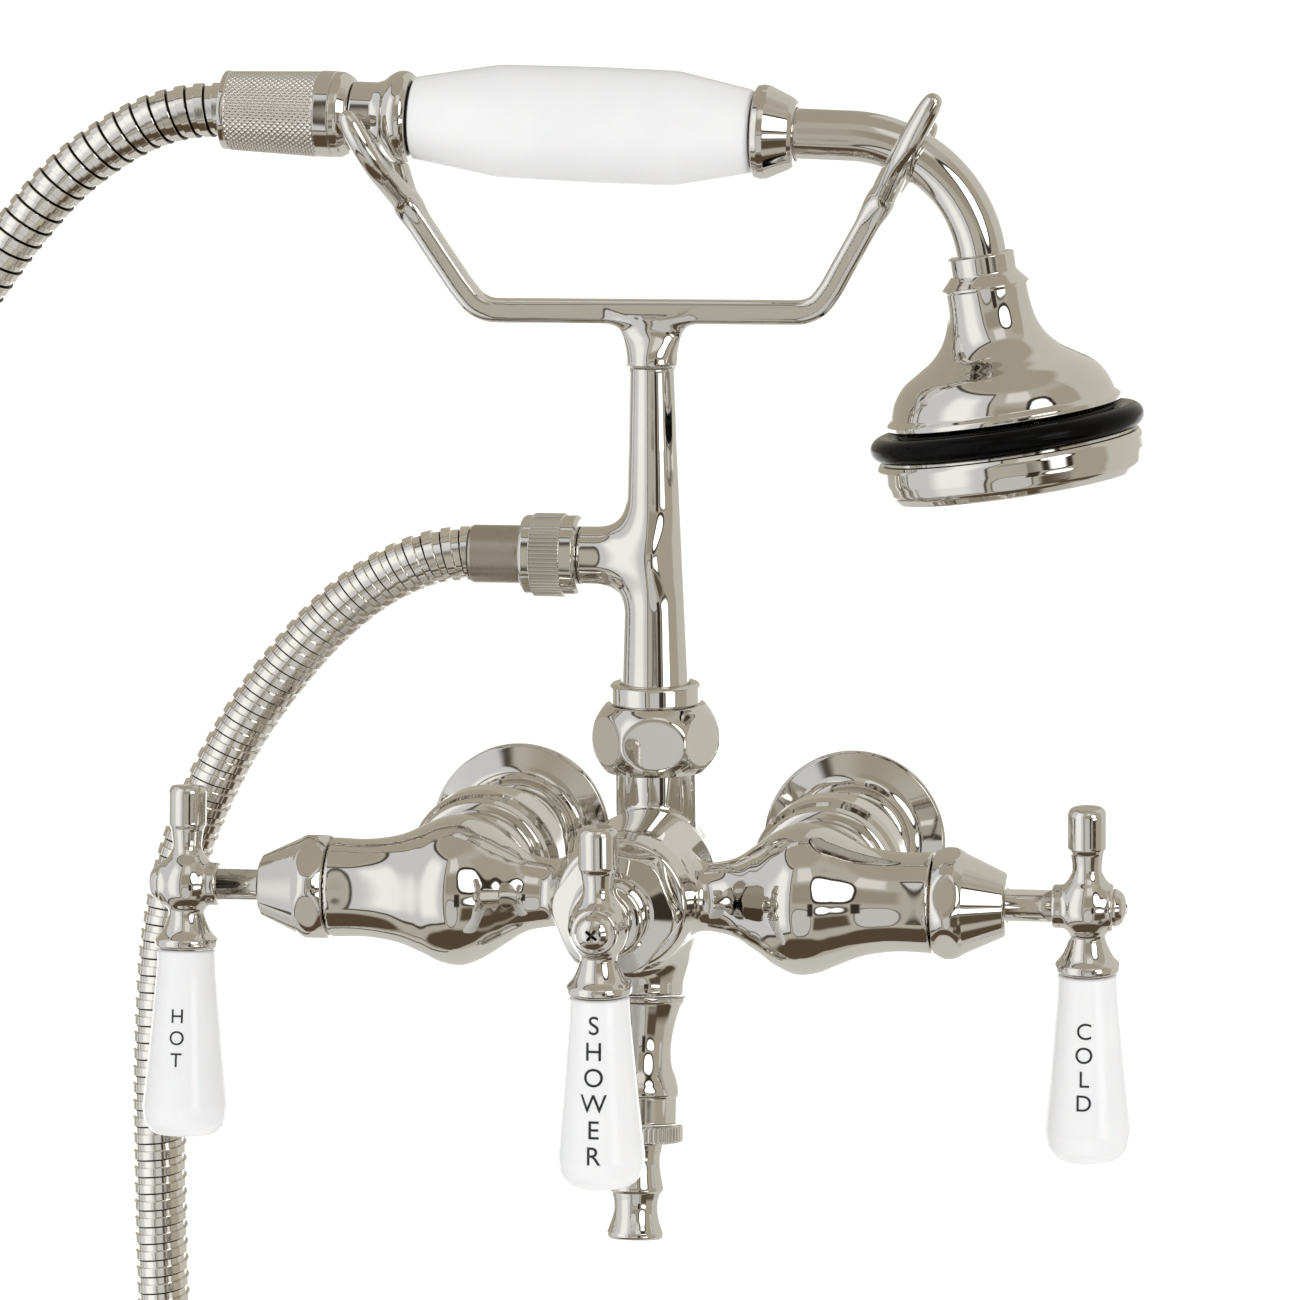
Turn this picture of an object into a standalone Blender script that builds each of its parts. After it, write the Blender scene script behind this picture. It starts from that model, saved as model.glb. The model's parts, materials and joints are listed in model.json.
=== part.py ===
"""Wall mounted bath faucet with a lift-off hand shower on a fork cradle.

Millimetres are used throughout and turned into metres where a mesh is made.
Origin: on the wall plane, midway between the two inlets and at their height.
+X runs along the faucet towards the cold side, +Y into the wall, +Z up.
"""

import math

import bmesh
import bpy
from mathutils import Matrix, Vector

# ---- driving dimensions, in millimetres and degrees ----
MM = 0.001
GAP = 0.3                      # clearance between the outlet boss and the spout
INLET_CENTRES = 85.725         # 3-3/8 in
BODY_OUT = 78.0                # body axis in front of the wall
RISER_BACK = 34.7              # riser and handset plane behind the body axis
ARM_END = 73.3                 # half length of the body casting
HUB_X = 110.0                  # side handle hubs from the centre
HUB_OUT = 40.6                 # front handle hub in front of the body axis
HOT_TILT = 6.5                 # how far the hot lever's foot stands forward
COLD_TILT = -2.0
SHANK_INTO_WALL = 40.0
ESCUTCHEON_RADIUS = 23.0
OUTLET_BACK = 14.8             # outlet axis behind the body axis, at axis height
OUTLET_LEAN = 9.0              # the outlet's foot leans forward
OUTLET_SEAT = 27.0             # length of the outlet boss below the body axis
SIDE_ARM_HEIGHT = 77.4         # hose outlet on the riser
BAR_TOP = 140.6                # top of the cradle's bar
HANDSET_HEIGHT = 181.75        # handset axis over the riser
HANDSET_SLOPE = 2.2            # the handset's nose points down by this much
HEAD_TOP = (81.3, 151.7)       # where the bent tube meets the shower head
HEAD_TILT = 7.5                # head axis from vertical, foot outward
HOSE_DIAMETER = 13.4
STEM_RADIUS = 3.8
TUBE_RADIUS = 6.1
TUBE_WALL = 1.4
ROUND = 13                     # sides of a turned piece
TUBE_SIDES = 10
BORE_SIDES = 11
STEM_BORE = STEM_RADIUS + 0.35
SHANK_BORE = 7.2
SIDE_VALVE_SEAT = 60.0         # how far from the centre a side valve's stem starts
PRONG_HALF_SECTION = (2.7, 2.3)
# share of the way from crotch to tip, and share of the spread there
PRONG_OPENING = ((0.0, 0.2), (0.2, 0.5), (0.45, 0.76), (0.7, 0.89), (0.92, 0.97), (1.0, 1.0))

# The hose's route in the riser plane: (x, z) from the side arm's ferrule, down, round and up to the handset.
HOSE_ROUTE = [
    (-45.6, 77.4), (-55.2, 76.3), (-64.2, 72.8), (-72.3, 68.0), (-79.8, 62.0),
    (-92.5, 48.6), (-103.9, 33.2), (-113.2, 16.6), (-120.4, -0.8), (-124.8, -19.4),
    (-127.2, -45.0), (-128.0, -85.0), (-127.4, -150.0), (-126.9, -230.0), (-126.8, -305.0),
    (-128.0, -357.0), (-136.0, -386.5), (-157.0, -408.0), (-186.0, -416.0), (-215.0, -408.0),
    (-236.0, -386.5), (-243.8, -357.0), (-245.2, -300.0), (-245.6, -220.0), (-243.6, -140.0),
    (-237.6, -65.0), (-226.5, 5.0), (-209.6, 68.0), (-192.0, 108.5), (-176.5, 132.0),
    (-167.0, 144.9), (-159.2, 155.0), (-153.1, 162.0), (-146.8, 168.5), (-139.8, 174.1),
    (-132.2, 179.0), (-123.9, 183.0), (-115.2, 185.3), (-106.2, 185.8),
]
HOSE_POINTS = 50

BODY_Y = -BODY_OUT
RISER_Y = RISER_BACK - BODY_OUT
INLET_X = INLET_CENTRES / 2
UP = Vector((0, 0, 1))
FRONT = Vector((0, -1, 0))
slope = math.radians(HANDSET_SLOPE)
HANDSET_ORIGIN = Vector((0, RISER_Y, HANDSET_HEIGHT))
HANDSET_AXIS = Vector((math.cos(slope), 0, -math.sin(slope)))
HEAD_AXIS = Vector((math.sin(math.radians(HEAD_TILT)), 0, -math.cos(math.radians(HEAD_TILT))))
lean = math.radians(OUTLET_LEAN)
OUTLET_ORIGIN = Vector((0, BODY_Y + OUTLET_BACK, 0))
OUTLET_AXIS = Vector((0, -math.sin(lean), -math.cos(lean)))

# name: colour, metallic, roughness
FINISHES = {
    "nickel": ((0.72, 0.69, 0.64), 1.0, 0.12),
    "satin_nickel": ((0.62, 0.58, 0.52), 1.0, 0.32),
    "porcelain": ((0.93, 0.93, 0.92), 0.0, 0.08),
    "rubber": ((0.015, 0.015, 0.015), 0.0, 0.35),
    "brass": ((0.78, 0.60, 0.32), 1.0, 0.35),
}


# ---- small tools ----
def clear_scene():
    for obj in list(bpy.data.objects):
        bpy.data.objects.remove(obj, do_unlink=True)


def finish(name):
    """The material of that name, made once."""
    if name in bpy.data.materials:
        return bpy.data.materials[name]
    colour, metallic, roughness = FINISHES[name]
    material = bpy.data.materials.new(name)
    material.use_nodes = True
    shader = material.node_tree.nodes["Principled BSDF"]
    shader.inputs["Base Color"].default_value = (*colour, 1)
    shader.inputs["Metallic"].default_value = metallic
    shader.inputs["Roughness"].default_value = roughness
    return material


def place(origin, axis, roll=0.0):
    """Matrix that stands local +Z along axis, at origin in millimetres."""
    turn = Vector(axis).to_track_quat("Z", "Y").to_matrix().to_4x4()
    return Matrix.Translation(Vector(origin) * MM) @ turn @ Matrix.Rotation(math.radians(roll), 4, "Z")


def add(name, bm, material=None, where=None):
    """Object from a bmesh in millimetres, with smooth shading and sharp edges kept."""
    bmesh.ops.scale(bm, vec=(MM, MM, MM), verts=bm.verts)
    bmesh.ops.recalc_face_normals(bm, faces=bm.faces)
    mesh = bpy.data.meshes.new(name)
    bm.to_mesh(mesh)
    bm.free()
    mesh.shade_smooth()
    mesh.set_sharp_from_angle(angle=math.radians(35))
    obj = bpy.data.objects.new(name, mesh)
    bpy.context.scene.collection.objects.link(obj)
    if material:
        mesh.materials.append(finish(material))
    if where is not None:
        obj.matrix_world = where
    return obj


def helper(obj):
    """Marks an object as a cutter or a guide, which is no piece of the faucet."""
    obj.hide_render = True
    obj.display_type = "WIRE"
    return obj


def combine(obj, tool, operation):
    """Adds an exact Boolean of obj with a helper."""
    modifier = obj.modifiers.new(operation.lower() + "_" + tool.name, "BOOLEAN")
    modifier.operation = operation
    modifier.solver = "EXACT"
    modifier.object = helper(tool)


def solid(outline):
    """A turned outline [(radius, height)...] closed on the axis at both ends."""
    return [(0, outline[0][1])] + outline + [(0, outline[-1][1])]


def bored(outline, bore):
    """A turned outline with a straight bore through it."""
    return outline + [(bore, outline[-1][1]), (bore, outline[0][1])]


def turned_mesh(outline, sides=ROUND):
    """Revolves an outline about Z. Without points on the axis it is a closed loop, a bored piece."""
    bm = bmesh.new()
    verts = [bm.verts.new((radius, 0, height)) for radius, height in outline]
    edges = [bm.edges.new(pair) for pair in zip(verts, verts[1:])]
    if min(radius for radius, _ in outline) > 0:
        edges.append(bm.edges.new((verts[-1], verts[0])))
    bmesh.ops.spin(
        bm, geom=verts + edges, axis=(0, 0, 1), cent=(0, 0, 0), steps=sides, angle=2 * math.pi, use_merge=True
    )
    bmesh.ops.remove_doubles(bm, verts=bm.verts, dist=1e-4)
    return bm


def turned(name, outline, where, material=None, sides=ROUND):
    return add(name, turned_mesh(outline, sides), material, where)


def bar_mesh(sections):
    """Joins closed sections, lists of points, into one solid with flat ends."""
    bm = bmesh.new()
    rings = [[bm.verts.new(point) for point in section] for section in sections]
    for low, high in zip(rings, rings[1:]):
        for i in range(len(low)):
            j = (i + 1) % len(low)
            bm.faces.new((low[i], low[j], high[j], high[i]))
    bm.faces.new(rings[0])
    bm.faces.new(rings[-1])
    return bm


def directions(path):
    """Unit tangent at each point of a path."""
    ends = [path[0]] + path + [path[-1]]
    return [(after - before).normalized() for before, after in zip(ends, ends[2:])]


def swept_sections(path, section, side):
    """Sections along a path. section(i) gives (across, sideways) offsets; side is the sideways direction."""
    sections = []
    for i, (point, tangent) in enumerate(zip(path, directions(path))):
        across = Vector(side).cross(tangent).normalized()
        sideways = tangent.cross(across)
        sections.append([point + across * a + sideways * b for a, b in section(i)])
    return sections


def oval(half_across, half_side, power=2.0, sides=12):
    """Offsets round a rounded rectangle, from an ellipse at power 2 to squarer at 4."""
    offsets = []
    for i in range(sides):
        angle = 2 * math.pi * (i + 0.5) / sides
        c, s = math.cos(angle), math.sin(angle)
        offsets.append((
            half_across * math.copysign(abs(c) ** (2 / power), c),
            half_side * math.copysign(abs(s) ** (2 / power), s),
        ))
    return offsets


def hexagon(name, across_flats, low, high, where):
    """A hexagonal prism, used to cut flats on a turned nut."""
    bm = bmesh.new()
    radius = across_flats / math.sqrt(3)
    bmesh.ops.create_cone(
        bm, cap_ends=True, segments=6, radius1=radius, radius2=radius, depth=high - low,
        matrix=Matrix.Translation((0, 0, (low + high) / 2)) @ Matrix.Rotation(math.radians(30), 4, "Z"),
    )
    return add(name, bm, None, where)


def hex_nut(name, outline, across_flats, where):
    """A bored and chamfered turned nut with six flats."""
    nut = turned(name, outline, where, "nickel", 18)
    heights = [height for _, height in outline]
    flats = hexagon(name + "_flats", across_flats, min(heights) - 5, max(heights) + 5, where)
    combine(nut, flats, "INTERSECT")
    return nut


def pivot(name, location):
    """An empty on a joint's axis, the parent of what moves about it."""
    empty = bpy.data.objects.new(name, None)
    empty.location = Vector(location) * MM
    empty.empty_display_size = 0.02
    bpy.context.scene.collection.objects.link(empty)
    return empty


def carry(parent, children):
    """Parents pieces to a pivot without moving them."""
    lift = Matrix.Translation(-parent.location)
    for child in children:
        child.parent = parent
        child.matrix_parent_inverse = lift


def smooth_curve(points, start, end, steps=16):
    """A fine polyline on a smooth curve through the points, from direction start to direction end."""
    spans = [(after - before).length for before, after in zip(points, points[1:])]
    slopes = [start]
    for i in range(1, len(points) - 1):
        before = (points[i] - points[i - 1]) / spans[i - 1]
        after = (points[i + 1] - points[i]) / spans[i]
        slopes.append((before * spans[i] + after * spans[i - 1]) / (spans[i - 1] + spans[i]))
    slopes.append(end)
    fine = []
    for i, span in enumerate(spans):
        for k in range(steps):
            t = k / steps
            fine.append(
                points[i] * (2 * t ** 3 - 3 * t ** 2 + 1) + slopes[i] * span * (t ** 3 - 2 * t ** 2 + t)
                + points[i + 1] * (3 * t ** 2 - 2 * t ** 3) + slopes[i + 1] * span * (t ** 3 - t ** 2)
            )
    fine.append(points[-1])
    return fine


def spaced(fine, count, lead):
    """Points along a fine polyline: its ends, one a short lead in from each, and count evenly between."""
    lengths = [0.0]
    for before, after in zip(fine, fine[1:]):
        lengths.append(lengths[-1] + (after - before).length)
    total = lengths[-1]
    wanted = [0, lead] + [total * (i + 1) / (count + 1) for i in range(count)] + [total - lead, total]
    points = []
    k = 0
    for distance in wanted:
        while k < len(fine) - 2 and lengths[k + 1] < distance:
            k += 1
        share = (distance - lengths[k]) / (lengths[k + 1] - lengths[k])
        points.append(fine[k].lerp(fine[k + 1], share))
    return points


# ---- body casting ----
def body_casting():
    """Two bulbed valve arms, the diverter barrel, the riser stub, the outlet boss and two rear elbows."""
    half = [
        (8.6, 12.0), (8.6, 22.0), (12.6, 30.5), (17.0, 36.5), (18.2, 42.0), (15.9, 50.5), (12.7, 59.0),
        (12.1, ARM_END),
    ]
    arms = [(radius, -x) for radius, x in reversed(half)] + half
    casting = turned("body_casting", solid(arms), place((0, BODY_Y, 0), (1, 0, 0)), "nickel", 16)

    barrel = [(15.4, -13.8), (17.2, -9.0), (17.2, 33.0), (13.2, 44.5), (7.0, 47.5)]
    add_solid(casting, "barrel", barrel, place((0, BODY_Y, 0), (0, 1, 0)))
    stub = [(13.4, 9.0), (10.3, 18.0), (10.3, 30.0)]
    add_solid(casting, "riser_stub", stub, place((0, RISER_Y, 0), UP))
    boss = [(15.6, 7.0), (12.4, 19.0), (11.0, 24.0), (11.0, OUTLET_SEAT - GAP)]
    add_solid(casting, "outlet_boss", boss, place(OUTLET_ORIGIN, OUTLET_AXIS))
    elbow = [(16.9, 1.0), (15.5, 16.0), (15.5, 24.0), (14.0, 24.4), (14.0, 36.0)]
    for side in (-1, 1):
        where = place((side * INLET_X, BODY_Y, 0), (0, 1, 0))
        add_solid(casting, f"elbow_{side}", elbow, where)

    cut(casting, "cross_bore", 5.0, -ARM_END - 1, ARM_END + 1, place((0, BODY_Y, 0), (1, 0, 0)))
    for side in (-1, 1):
        cut(casting, f"valve_chamber_{side}", 8.7, 55.0, ARM_END + 2, place((0, BODY_Y, 0), (side, 0, 0)))
        inlet_place = place((side * INLET_X, BODY_Y, 0), (0, 1, 0))
        cut(casting, f"inlet_bore_{side}", SHANK_BORE, -1.0, 40.0, inlet_place)
    cut(casting, "diverter_chamber", 10.9, -20.0, 9.0, place((0, BODY_Y, 0), (0, 1, 0)))
    cut(casting, "riser_passage", 5.6, 5.0, RISER_BACK + 2, place((0, BODY_Y, 0), (0, 1, 0)))
    cut(casting, "riser_bore", 6.2, -3.0, 40.0, place((0, RISER_Y, 0), UP))
    cut(casting, "outlet_bore", 5.8, -3.0, 40.0, place(OUTLET_ORIGIN, OUTLET_AXIS))
    return casting


def add_solid(casting, name, outline, where):
    combine(casting, turned(name, solid(outline), where), "UNION")


def cut(casting, name, radius, low, high, where):
    """Bores a casting. The cutter's flats, not its corners, lie at the radius."""
    corner = radius / math.cos(math.pi / BORE_SIDES)
    bore = turned(name, solid([(corner, low), (corner, high)]), where, sides=BORE_SIDES)
    combine(casting, bore, "DIFFERENCE")


# ---- inlets ----
def inlet(side, name):
    """Escutcheon on the wall, round coupling nut, shank into the wall and its washer."""
    from_wall = place((side * INLET_X, 0, 0), FRONT)
    rim = ESCUTCHEON_RADIUS
    escutcheon = [(rim, 0), (rim, 1.0), (20.0, 3.0), (14.4, 4.8), (14.3, 8.4), (13.2, 9.6)]
    turned(f"{name}_escutcheon", bored(escutcheon, 10.8), from_wall, "nickel", 20)
    from_body = place((side * INLET_X, BODY_Y, 0), (0, 1, 0))
    nut = [
        (16.6, 24.7), (17.4, 29.6), (19.0, 31.6), (19.0, 40.8), (16.9, 43.4), (16.7, 50.6), (15.2, 52.8),
        (12.7, 52.8), (12.7, 43.0), (14.4, 43.0), (14.4, 24.7),
    ]
    turned(f"{name}_coupling_nut", nut, from_body, "nickel", 16)
    end = BODY_OUT + SHANK_INTO_WALL
    shank = [
        (13.9, 38.0), (13.9, 42.6), (12.3, 42.8), (12.3, 67.8), (10.4, 68.2), (10.4, end - 1), (9.6, end),
    ]
    turned(f"{name}_shank", bored(shank, SHANK_BORE), from_body, "nickel")
    turned(f"{name}_washer", bored([(13.9, 36.3), (13.9, 37.7)], 7.4), from_body, "rubber")


# ---- valves and handles ----
def side_valve(side, name):
    """Cartridge and bonnet nut of a side valve, along the arm's axis."""
    where = place((0, BODY_Y, 0), (side, 0, 0))
    cartridge = [(8.3, 56.0), (8.3, 81.6), (6.4, 81.8), (6.4, 84.6)]
    turned(f"{name}_cartridge", bored(cartridge, STEM_BORE), where, "brass")
    bonnet = [
        (11.8, 73.6), (13.4, 76.2), (13.0, 79.0), (11.2, 81.2), (7.2, 91.0),
        (STEM_BORE, 91.0), (STEM_BORE, 85.0), (6.8, 85.0), (8.7, 81.9), (8.7, 73.6),
    ]
    hex_nut(f"{name}_bonnet_nut", bonnet, 23.6, where)


def front_valve():
    """Diverter cartridge, hexagonal bonnet and packing nut, along -Y from the body axis."""
    where = place((0, BODY_Y, 0), FRONT)
    cartridge = [(10.5, -8.0), (10.5, 13.4), (8.6, 14.0), (8.6, 17.0)]
    turned("diverter_cartridge", bored(cartridge, STEM_BORE), where, "brass")
    bonnet = [
        (14.2, 14.1), (15.9, 16.4), (15.6, 21.0), (13.2, 24.0), (10.6, 24.9),
        (STEM_BORE, 24.9), (STEM_BORE, 20.0), (9.0, 17.4), (9.0, 14.1),
    ]
    hex_nut("diverter_bonnet", bonnet, 30.0, where)
    packing = [(11.5, 25.2), (10.4, 28.6), (9.3, 30.2), (9.3, 32.0), (8.4, 33.0)]
    turned("diverter_packing_nut", bored(packing, STEM_BORE), where, "nickel")


def handle(name, hub, axis, stem_start, tilt):
    """Valve stem, hub casting, screw, stud and porcelain lever, all turning about the stem's axis."""
    reach = Vector(axis).dot(Vector(hub) - Vector((0, BODY_Y, 0)))
    stem_place = place(Vector(hub) - Vector(axis) * reach, axis)
    inside = reach - 7.4
    tip = reach + 3.6
    stem = [
        (3.3, stem_start), (STEM_RADIUS, stem_start + 1), (STEM_RADIUS, inside), (3.3, inside + 0.4),
        (3.3, tip), (2.25, tip), (2.25, tip - 9), (0, tip - 9),
    ]
    pieces = [turned(f"{name}_stem", [(0, stem_start)] + stem, stem_place, "brass")]

    lever_axis = Vector((0, -math.sin(math.radians(tilt)), -math.cos(math.radians(tilt))))
    lever_place = place(hub, lever_axis)
    hub_outline = [
        (3.0, -24.0), (4.6, -22.4), (4.6, -14.0), (3.6, -10.0), (3.8, -6.8), (6.2, -3.6), (7.2, 0),
        (6.2, 3.8), (4.4, 6.8), (5.2, 10.4), (7.5, 13.2), (7.4, 15.7),
    ]
    bore = [(2.5, 15.7), (2.5, 6.4), (0, 6.4)]
    casting = turned(f"{name}_hub", [(0, -24.0)] + hub_outline + bore, lever_place, "nickel")
    seat = place(hub, axis)
    stem_bore = turned(f"{name}_stem_bore", solid([(3.65, -12), (3.65, 12)]), seat, sides=12)
    combine(casting, stem_bore, "DIFFERENCE")
    screw_seat = turned(f"{name}_screw_seat", solid([(9, 5.6), (9, 12)]), seat, sides=12)
    combine(casting, screw_seat, "DIFFERENCE")
    pieces.append(casting)

    screw = [(1.9, -4.0), (1.9, 5.9), (4.5, 5.9), (4.4, 7.0), (2.4, 9.4)]
    pieces.append(turned(f"{name}_screw", solid(screw), seat, "nickel", 12))
    stud = [(2.2, 7.0), (2.2, 45.6)]
    pieces.append(turned(f"{name}_stud", solid(stud), lever_place, "brass", 12))
    outline = [(7.0, 16.0), (7.3, 22.0), (9.0, 42.0), (10.4, 54.0), (10.2, 58.0), (7.6, 61.0)]
    lever = turned(f"{name}_lever", solid(outline), lever_place, "porcelain")
    stud_hole = turned(f"{name}_stud_hole", solid([(2.6, 11.0), (2.6, 46.5)]), lever_place, sides=16)
    combine(lever, stud_hole, "DIFFERENCE")
    pieces.append(lever)
    carry(pivot(f"{name}_pivot", hub), pieces)


# ---- outlet ----
def outlet():
    """Seal, waisted spout, knurled ring and nozzle below the body, along the leaning outlet axis."""
    where = place(OUTLET_ORIGIN, OUTLET_AXIS)
    spout = [(11.1, 27.2), (10.2, 30.2), (8.3, 38.0), (8.4, 44.0), (10.3, 50.0), (9.8, 51.6), (9.8, 58.0)]
    turned("spout_tube", bored(spout, 6.0), where, "nickel")
    turned("spout_knurled_ring", bored([(11.1, 58.3), (11.1, 62.6)], 6.2), where, "nickel", 20)
    turned("spout_washer", bored([(5.8, 58.6), (5.8, 60.2)], 4.2), where, "rubber", 12)
    nozzle = [
        (5.8, 60.6), (5.8, 62.9), (6.4, 63.0), (5.9, 67.0), (6.9, 73.2), (5.5, 78.2), (6.9, 84.2),
        (6.7, 86.0),
    ]
    turned("spout_nozzle", bored(nozzle, 4.3), where, "nickel")


# ---- riser ----
def riser():
    """Union nut, washer, collar and the tapered column with its side arm for the hose."""
    where = place((0, RISER_Y, 0), UP)
    nut = [
        (12.4, 24.6), (15.4, 27.4), (16.4, 33.0), (15.4, 38.4), (12.6, 41.0),
        (8.9, 41.0), (8.9, 36.2), (10.7, 36.2), (10.7, 24.6),
    ]
    hex_nut("riser_union_nut", nut, 28.0, place((0, RISER_Y, 0), UP, 8))
    turned("riser_washer", bored([(10.2, 30.3), (10.2, 31.2)], 6.4), where, "rubber")
    turned("riser_collar", bored([(11.1, 41.3), (11.1, 45.6), (10.5, 46.2)], 8.75), where, "nickel", 16)

    column = [
        (10.2, 31.5), (10.2, 35.8), (8.5, 36.0), (8.4, 46.0), (7.1, 77.0), (5.5, 123.6), (3.5, 124.0),
        (3.5, 133.0),
    ]
    casting = turned("riser_column", solid(column), where, "nickel")
    side = place((0, RISER_Y, SIDE_ARM_HEIGHT), (-1, 0, 0))
    arm = [(8.0, 0.0), (7.6, 8.0), (6.6, 14.0), (6.6, 18.2), (7.2, 18.6), (7.2, 27.0)]
    add_solid(casting, "side_arm", arm, side)
    cut(casting, "column_bore", 4.4, 20.0, 84.0, where)
    cut(casting, "side_arm_bore", 3.6, 0.0, 35.0, side)

    nut = [(9.9, 18.2), (9.9, 32.3), (6.4, 32.3), (6.4, 30.9), (7.55, 30.9), (7.55, 18.2)]
    turned("hose_union_nut", nut, side, "nickel", 16)
    turned("hose_washer", bored([(7.0, 27.3), (7.0, 28.7)], 3.6), side, "rubber")
    ferrule = [(7.2, 29.0), (7.2, 30.6), (6.1, 30.7), (6.1, 32.5), (7.1, 32.6), (7.1, 45.2)]
    turned("hose_ferrule", bored(ferrule, 3.6), side, "satin_nickel")


def prong(name, path):
    """One round-nosed prong of the cradle."""
    across, sideways = PRONG_HALF_SECTION
    last = len(path) - 1

    def section(i):
        nose = 0.45 if i == last else 1.0
        return oval(across * nose, sideways * nose, 2.3, 8)

    return add(name, bar_mesh(swept_sections(path, section, (0, 1, 0))))


def cradle():
    """Fork cradle: a stem and a bar with two arms, each ending in two prongs that spread apart."""
    stem = [(6.3, 124.4), (6.3, 128.0), (5.8, 129.2), (5.9, 132.5), (7.4, 137.6), (7.4, 139.2)]
    casting = turned("handset_cradle", solid(stem), place((0, RISER_Y, 0), UP), "nickel")
    middle = BAR_TOP - 3.2
    left_crotch = Vector((-59.5, RISER_Y, 161.0))
    right_crotch = Vector((55.6, RISER_Y, 160.6))
    bar = [left_crotch, (-50.5, 147.8), (-46.0, 141.4), (-42.6, 138.4), (-38.0, middle), (0.0, middle),
           (38.0, middle), (42.8, 138.2), (45.6, 141.4), (48.8, 147.4), right_crotch]
    bar = [point if len(point) == 3 else Vector((point[0], RISER_Y, point[1])) for point in bar]
    bar_sections = swept_sections(bar, lambda i: oval(3.0, 3.3, 3.0), (0, 1, 0))
    combine(casting, add("cradle_bar", bar_mesh(bar_sections)), "UNION")

    # crotch, tip (x, z) and sideways spread at the tip of each prong
    prongs = {
        "left_front": (left_crotch, (-72.6, 184.4), -13.6),
        "left_back": (left_crotch, (-72.6, 184.4), 13.6),
        "right_front": (right_crotch, (72.6, 192.0), -12.6),
        "right_back": (right_crotch, (68.0, 183.0), 11.6),
    }
    for name, (crotch, tip, spread) in prongs.items():
        foot = crotch - Vector((math.copysign(2.6, crotch.x), -0.07 * spread, 4.2))
        path = [foot]
        for share, opening in PRONG_OPENING:
            path.append(Vector((
                crotch.x + (tip[0] - crotch.x) * share,
                RISER_Y + spread * opening,
                crotch.z + (tip[1] - crotch.z) * share,
            )))
        combine(casting, prong("prong_" + name, path), "UNION")
    cut(casting, "socket_bore", 3.85, 118.0, 133.4, place((0, RISER_Y, 0), UP))
    return casting


# ---- handset ----
def handset():
    """Everything that lifts off the cradle: hose nut, ferrule, porcelain grip, bent tube and shower head."""
    along = place(HANDSET_ORIGIN, HANDSET_AXIS)
    nut = [(9.5, -105.8), (10.6, -80.0), (10.6, -76.4), (9.2, -73.4)]
    pieces = [turned("handset_hose_nut", bored(nut, 6.2), along, "nickel", 16)]
    washer = bored([(5.8, -92.4), (5.8, -90.6)], 3.6)
    pieces.append(turned("handset_hose_washer", washer, along, "rubber", 12))
    ferrule = [
        (5.8, -90.2), (5.8, -73.2), (8.3, -73.0), (8.3, -66.2), (11.2, -63.0), (11.2, -60.2), (10.2, -58.9),
        (5.3, -58.9), (5.3, -66.0), (3.6, -66.2), (3.6, -90.2),
    ]
    pieces.append(turned("handset_ferrule", ferrule, along, "nickel", 16))
    grip = [
        (10.3, -58.2), (12.2, -48.0), (13.7, -36.0), (14.1, -14.0), (13.9, 5.0), (12.6, 16.0), (10.2, 25.2),
    ]
    pieces.append(turned("handset_grip", bored(grip, 5.4), along, "porcelain", 16))
    for name, start in (("rear_grip_gasket", -58.75), ("front_grip_gasket", 25.35)):
        pieces.append(turned(name, bored([(9.0, start), (9.0, start + 0.4)], 6.5), along, "rubber", 12))
    cap = [(11.4, 25.9), (11.4, 29.0), (8.4, 35.2), (7.6, 35.8)]
    pieces.append(turned("handset_cap_nut", bored(cap, 6.45), along, "nickel", 16))
    pieces.append(handset_tube())
    pieces += shower_head()
    carry(pivot("handset_lift", HANDSET_ORIGIN), pieces)


def handset_tube():
    """Straight inside the grip, then one bend down to the head."""
    top = Vector((HEAD_TOP[0], RISER_Y, HEAD_TOP[1]))
    down = Vector((HANDSET_AXIS.z, 0, -HANDSET_AXIS.x))
    turn = HANDSET_AXIS.angle(HEAD_AXIS)
    offset = top - HANDSET_ORIGIN
    radius = offset.dot(down) / (1 - math.cos(turn))
    start = offset.dot(HANDSET_AXIS) - radius * math.sin(turn)
    stations = [(-65.4, 5.0), (25.4, 5.0), (25.6, TUBE_RADIUS), (start, TUBE_RADIUS)]
    path = [(HANDSET_ORIGIN + HANDSET_AXIS * s, r) for s, r in stations]
    bends = 9
    for k in range(1, bends + 1):
        angle = turn * k / bends
        point = HANDSET_ORIGIN + HANDSET_AXIS * (start + radius * math.sin(angle))
        path.append((point + down * radius * (1 - math.cos(angle)), TUBE_RADIUS))
    path.append((path[-1][0] + HEAD_AXIS * 5.0, TUBE_RADIUS))
    points = [point for point, _ in path]

    def wall(inward):
        radii = [radius - inward for _, radius in path]
        return swept_sections(points, lambda i: oval(radii[i], radii[i], 2.0, TUBE_SIDES), (0, 1, 0))

    outer, inner = wall(0), wall(TUBE_WALL)
    bm = bmesh.new()
    loops = [[bm.verts.new(p) for p in ring] for ring in outer + inner[::-1]]
    for low, high in zip(loops, loops[1:] + loops[:1]):
        for i in range(TUBE_SIDES):
            j = (i + 1) % TUBE_SIDES
            bm.faces.new((low[i], low[j], high[j], high[i]))
    return add("handset_tube", bm, "nickel")


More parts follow.
